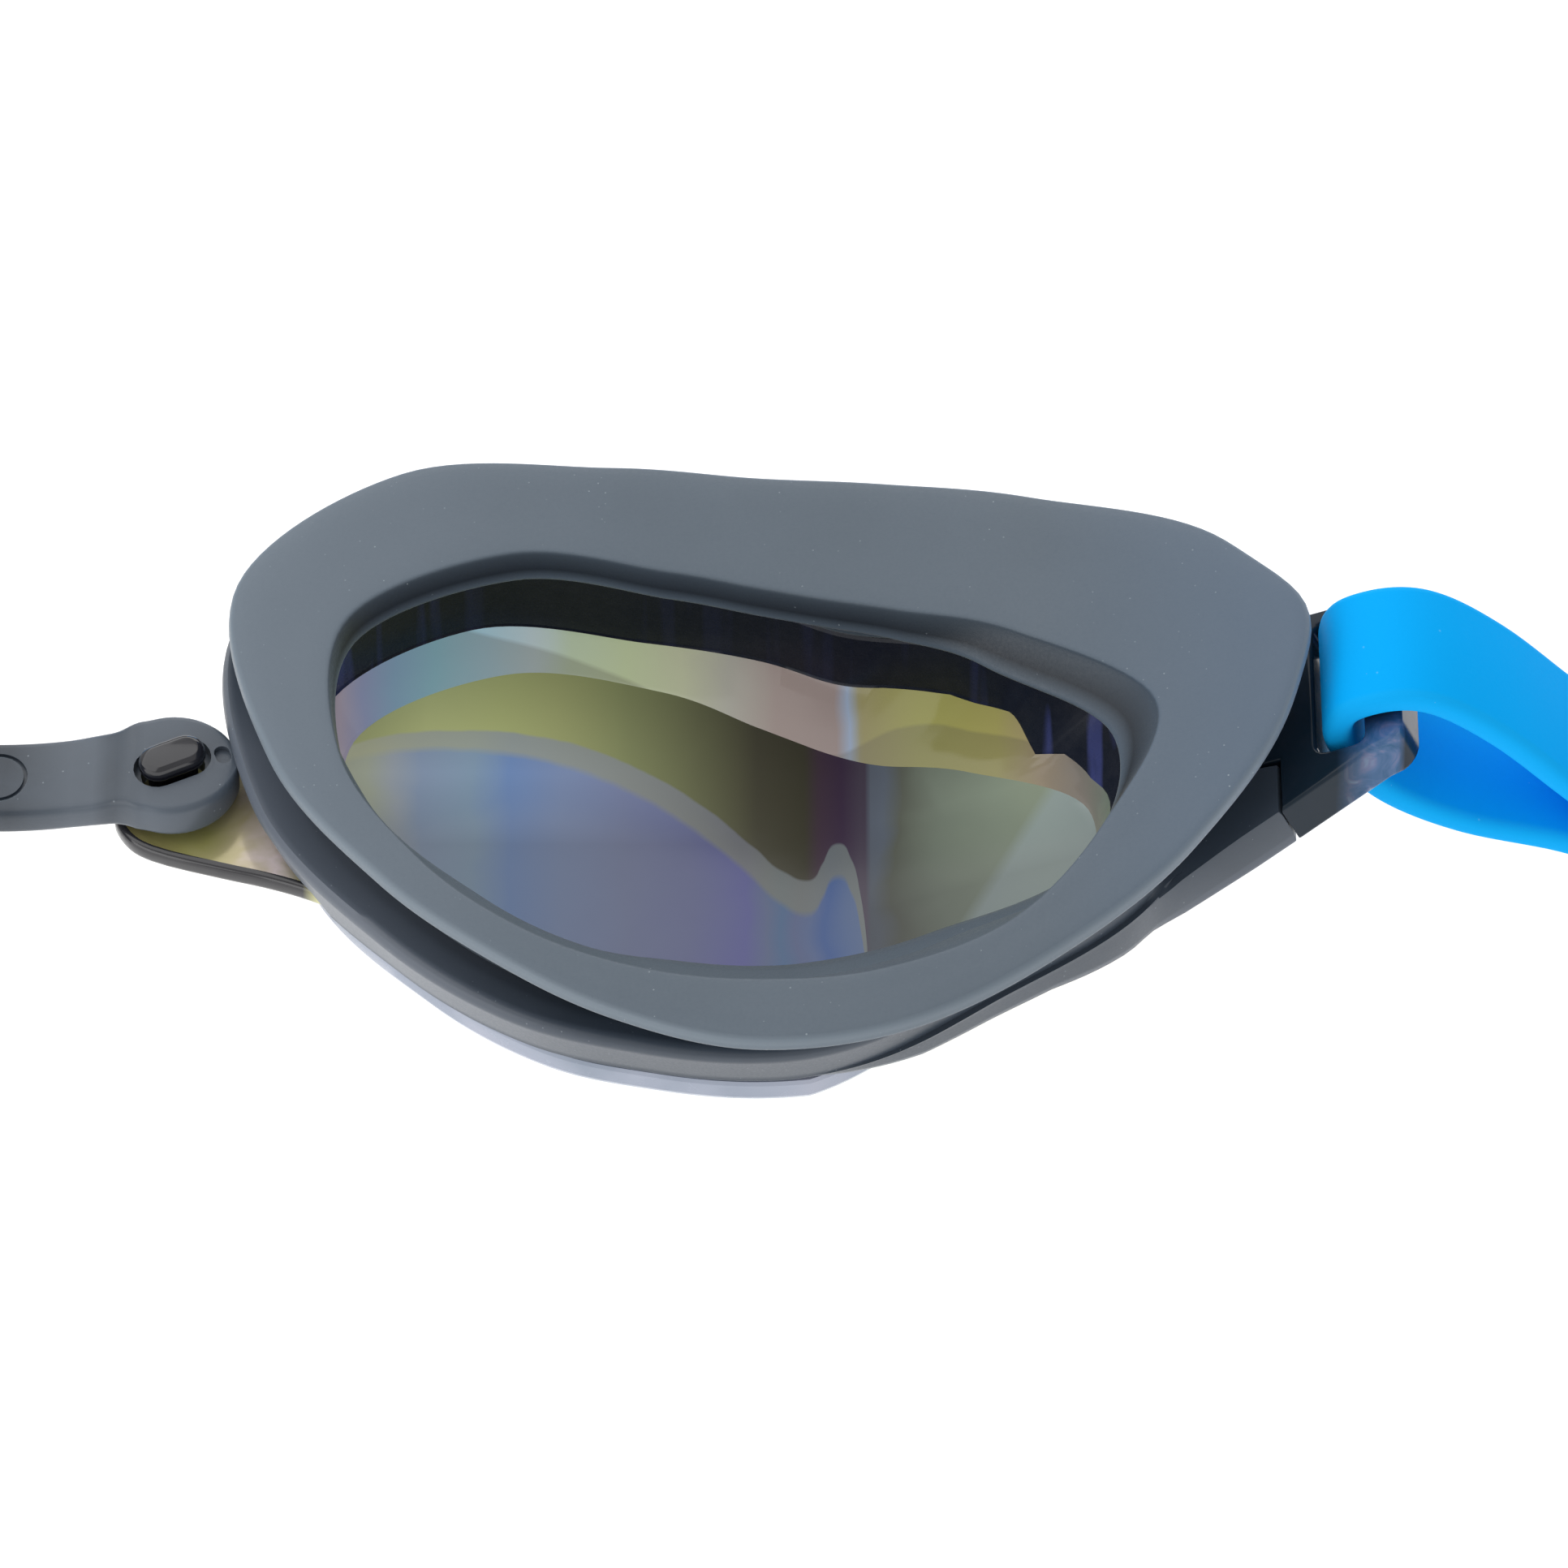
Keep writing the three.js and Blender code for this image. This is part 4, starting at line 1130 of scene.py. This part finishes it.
def make_bridge(material):
    tip = [PEG_X + EYELET_RADIUS * math.sin(math.pi / 2 * k / 14) for k in range(1, 14)]
    side = [*np.linspace(0, PEG_X, 40)[1:], *tip, PEG_X + EYELET_RADIUS - 0.004]
    stations = [-x for x in reversed(side)] + [0.0] + side
    rings = []
    for x in stations:
        half = max(bridge_half_width(x), 0.14)
        sag = 1.25 * (1 - min(abs(x) / 7.2, 1.0) ** 2)
        eyelet = smoothstep(abs(x), 4.8, 7.4)
        rings.append(bridge_section(x, half, BRIDGE_MID - sag, eyelet))
    bridge = loft("nose_bridge_skin", rings, [material], sharp=60)
    for sign in (-1, 1):
        hole = oblong(sign * PEG_X, 0, *HOLE_SIZE, sign * PEG_TURN)
        recess = oblong(sign * PEG_X, -0.05, *RECESS_SIZE, sign * PEG_TURN)
        dimple = oblong(sign * DIMPLE_X, 0.5, *DIMPLE_SIZE, sign * 110.0)
        for plan, low, high in ((hole, 3.0, 7.4), (recess, 6.75, 9.5), (dimple, 7.15, 9.5)):
            cut(bridge, block(plan, low, high))
    circle = np.linspace(0, 2 * math.pi, 36, endpoint=False)
    mark = [
        [(r * math.cos(t), r * math.sin(t), z) for t in circle]
        for r, z in ((1.4, 5.98), (1.62, 5.98), (1.62, 7.0), (1.4, 7.0))
    ]
    cut(bridge, loft("mark", mark, [], wrap=True))
    bridge.data.set_sharp_from_angle(angle=math.radians(50))
    return bridge


def bridge_section(x, half, mid, eyelet):
    """Section across the bridge: flat faces, round edges and a stepped lower rim at the eyelets."""
    thick, corner = 0.95 + 0.1 * eyelet, min(0.5, half * 0.5)
    step = 0.2 * eyelet * min(half / 3, 1)
    points = []
    for cy, cz, turn in corner_turns(5):
        reach = half - corner - (step if cz > 0 else 0)
        y = cy * reach + corner * math.cos(turn)
        points.append((x, y, mid + cz * (thick - corner) + corner * math.sin(turn)))
    return points


# ---- Strap ----

FOLD = [
    (SWING_X - 0.4, SWING_Z - RUN_SPACING / 2), (90.3, 1.7), (87.6, 4.1), (84.6, 5.7), (79.2, 7.45),
    (75.8, 9.35), (73.9, 11.1), (72.6, 13.2), (71.9, 15.2), (72.3, 16.8), (74.0, 17.8), (75.8, 18.0),
    (77.5, 17.4), (80.6, 14.9), (84.5, 10.5), (87.7, 6.9), (90.4, 4.5),
    (SWING_X - 0.4, SWING_Z + RUN_SPACING / 2),
]
STRAP_PATH = [
    (SWING_X, STRAP_Y), (98, STRAP_Y + 0.2), (103, 0.8), (109, 4.2), (115.5, 10.5), (120.3, 19),
    (122, 31), (119.5, 44), (112.5, 56), (101, 65), (86, 70.5), (70, 71.9), (50, 72), (20, 72), (0, 72),
]


def smoothstep(value, low, high):
    t = min(max((value - low) / (high - low), 0.0), 1.0)
    return t * t * (3 - 2 * t)


def strap_section(centre, across, through):
    """A band's section with well rounded edges. Also gives how near each point is to an edge."""
    corner, steps = 0.62, 4
    half_w, half_t = STRAP_WIDTH / 2 - corner, STRAP_THICKNESS / 2 - corner
    points, rim = [], []
    for cw, ct, turn in corner_turns(steps):
        w = cw * half_w + corner * math.cos(turn)
        t = ct * half_t + corner * math.sin(turn)
        points.append(centre + across * w + through * t)
        # These values mark where the strap's material paints a highlight along the rounded edges.
        rim.append(1.0 if abs(abs(math.cos(turn)) - 0.7) < 0.4 else 0.35)
    return points, rim


def strap_mesh(name, sections, material):
    rings = [s[0] for s in sections]
    rim = np.array([s[1] for s in sections]).reshape(-1)
    obj = loft(name, rings, [material], sharp=60)
    obj.data.attributes.new("rim", "FLOAT", "POINT").data.foreach_set("value", rim.astype(np.float32))
    return obj


def dense_path():
    right = [(x, y, 0.0) for x, y in STRAP_PATH]
    left = [(-x, y, 0.0) for x, y in reversed(STRAP_PATH[:-1])]
    return spline(right + left, 60, False)


def run_height(turned, x):
    stack = (RUN_SPACING + STRAP_THICKNESS) / 2
    resting = TABLE_GAP + STRAP_WIDTH / 2 * math.sin(turned) + stack * math.cos(turned)
    at_back = 1 - smoothstep(abs(x), 50, 110)
    return resting + (BACK_Z - TABLE_GAP - STRAP_WIDTH / 2) * at_back


PATH = dense_path()
PATH_LENGTHS = np.concatenate([[0], np.cumsum(np.linalg.norm(np.diff(PATH, axis=0), axis=1))])


def path_point(station):
    """The point of the strap's centre line at a distance from the right loop."""
    return np.array([np.interp(station, PATH_LENGTHS, PATH[:, k]) for k in range(3)])


def run_section(station, offset_at):
    """The section of a run at a distance along the strap's centre line from the right loop."""
    total = PATH_LENGTHS[-1]
    point = path_point(station)
    along = path_point(min(station + 0.2, total)) - path_point(max(station - 0.2, 0))
    tangent = along / np.linalg.norm(along)
    from_loop = min(station, total - station)
    if from_loop < 0.3:
        tangent = np.array([1.0, 0, 0])
    up = np.array([0, 0, 1.0])
    outward = np.cross(tangent, up)
    turned = math.pi / 2 * smoothstep(from_loop, 0, TWIST_LENGTH)
    through = up * math.cos(turned) + outward * math.sin(turned)
    across = np.cross(through, np.cross(outward, up))
    across = across / np.linalg.norm(across)
    centre = point + np.array([0, 0, run_height(turned, point[0])]) + through * offset_at(point)
    return strap_section(centre, across, through)


def fold_sections():
    points = spline([(x, STRAP_Y, z) for x, z in FOLD], 7, False)
    across = np.array([0, 1.0, 0])
    made = []
    for i, point in enumerate(points):
        if i in (0, len(points) - 1):
            tangent = np.array([1.0 if i else -1.0, 0, 0])
        else:
            tangent = points[i + 1] - points[i - 1]
            tangent = tangent / np.linalg.norm(tangent)
        made.append(strap_section(point, across, np.cross(tangent, across)))
    return made


def stations_between(start, end, step):
    count = max(int(round((end - start) / step)), 1)
    return [start + (end - start) * k / count for k in range(count + 1)]


RUN_STEP = 1.6  # between the sections of a run
JOIN_STATION = float(PATH_LENGTHS[np.argmax(PATH[:, 0] > JOIN_X)])


def outer_offset(p):
    return RUN_SPACING / 2


def inner_offset(p):
    return -RUN_SPACING / 2


def make_strap_end(material):
    """The strap from the join on the lower run, through the loop, to the join on the upper run."""
    near = stations_between(0.0, JOIN_STATION, 1.0)
    lower_part = [flipped(run_section(s, inner_offset)) for s in reversed(near)]
    upper_part = [run_section(s, outer_offset) for s in near]
    return strap_mesh("right_strap_end", lower_part + fold_sections() + upper_part, material)


def flipped(section):
    """The section turned end for end, so that a run joins the fold with its corners in the same order."""
    points, rim = section
    half = len(points) // 2
    return points[half:] + points[:half], rim[half:] + rim[:half]


def inner_offset_left(p):
    shifted = 1 - smoothstep(-p[0], TAIL_SHIFT_END, TAIL_SHIFT_START)
    return -RUN_SPACING / 2 - (RUN_SPACING * shifted if p[1] > BACK_Y / 2 else 0)


def make_runs(material):
    total = float(PATH_LENGTHS[-1])
    back = np.flatnonzero(PATH[:, 1] > BACK_Y / 2)
    tails = (TAIL_END_X, -TAIL_END_X)
    tail_right, tail_left = np.interp(tails, PATH[back, 0][::-1], PATH_LENGTHS[back][::-1]).tolist()
    first, last = JOIN_STATION, total - JOIN_STATION
    rows = [
        ("strap_outer_run", "strap_outer_skin", outer_offset, first, last),
        ("strap_inner_run_right", "strap_inner_right_skin", inner_offset, first, tail_right),
        ("strap_inner_run_left", "strap_inner_left_skin", inner_offset_left, tail_left, last),
    ]
    runs = {}
    for node, name, offset_at, start, end in rows:
        stations = stations_between(start, end, RUN_STEP)
        sections = [run_section(s, offset_at) for s in stations]
        runs[node] = strap_mesh(name, sections, material)
    return runs


# ---- Rear clip ----


def rounded_box(middle, half_y, half_z, corner, steps):
    points = []
    for a, b, turn in corner_turns(steps):
        y = middle + a * (half_y - corner) + corner * math.cos(turn)
        points.append((y, b * (half_z - corner) + corner * math.sin(turn)))
    return points


def make_clip(material):
    centre_y = BACK_Y - RUN_SPACING / 2
    outline = rounded_box(0, CLIP_WIDTH / 2, CLIP_HEIGHT / 2, 2.2, 6)
    holes = [rounded_box(layer * RUN_SPACING, 1.1, 4.2, 0.4, 3)[::-1] for layer in (-1, 0, 1)]
    place = lambda y, z, x: (x - CLIP_LENGTH / 2, centre_y + y, BACK_Z + z)
    return slab("rear_clip_body", outline, holes, 0, CLIP_LENGTH, 0.45, [material], place=place)


# ---- Assembly ----

set_camera()
set_studio()

silicone = seal_material()
frame_grey = frame_material()
blue = strap_material()
smoke = smoke_material()
front = front_material()

finish_piece(make_seal(silicone), "cup", ["seal"])
finish_piece(make_frame(frame_grey), "cup", ["frame"])
bowl_zones = [front, lens_edge_material(), dark_wall_material(), facet_material(), pane_material()]
finish_piece(make_bowl(bowl_zones), "cup", ["lens"])
finish_piece(make_ear([ear_top_material(), smoke]), "cup", ["lens"])
finish_piece(make_peg([peg_material()]), "cup", ["lens"])
finish_piece(make_loop([loop_material()]), "cup", ["lens"])

bridge = make_bridge(bridge_material())
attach(bridge, "bridge")
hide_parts("nose_bridge")

ends = finish_piece(make_strap_end(blue), "blend", ["strap_fold"])
for end_piece, sign, cup in ((ends[0], 1, "right_cup"), (ends[1], -1, "left_cup")):
    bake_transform(end_piece)

for node, run in make_runs(blue).items():
    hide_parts(node)
    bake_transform(run)

clip = make_clip(clip_material())
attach(clip, "clip")
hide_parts("rear_clip")
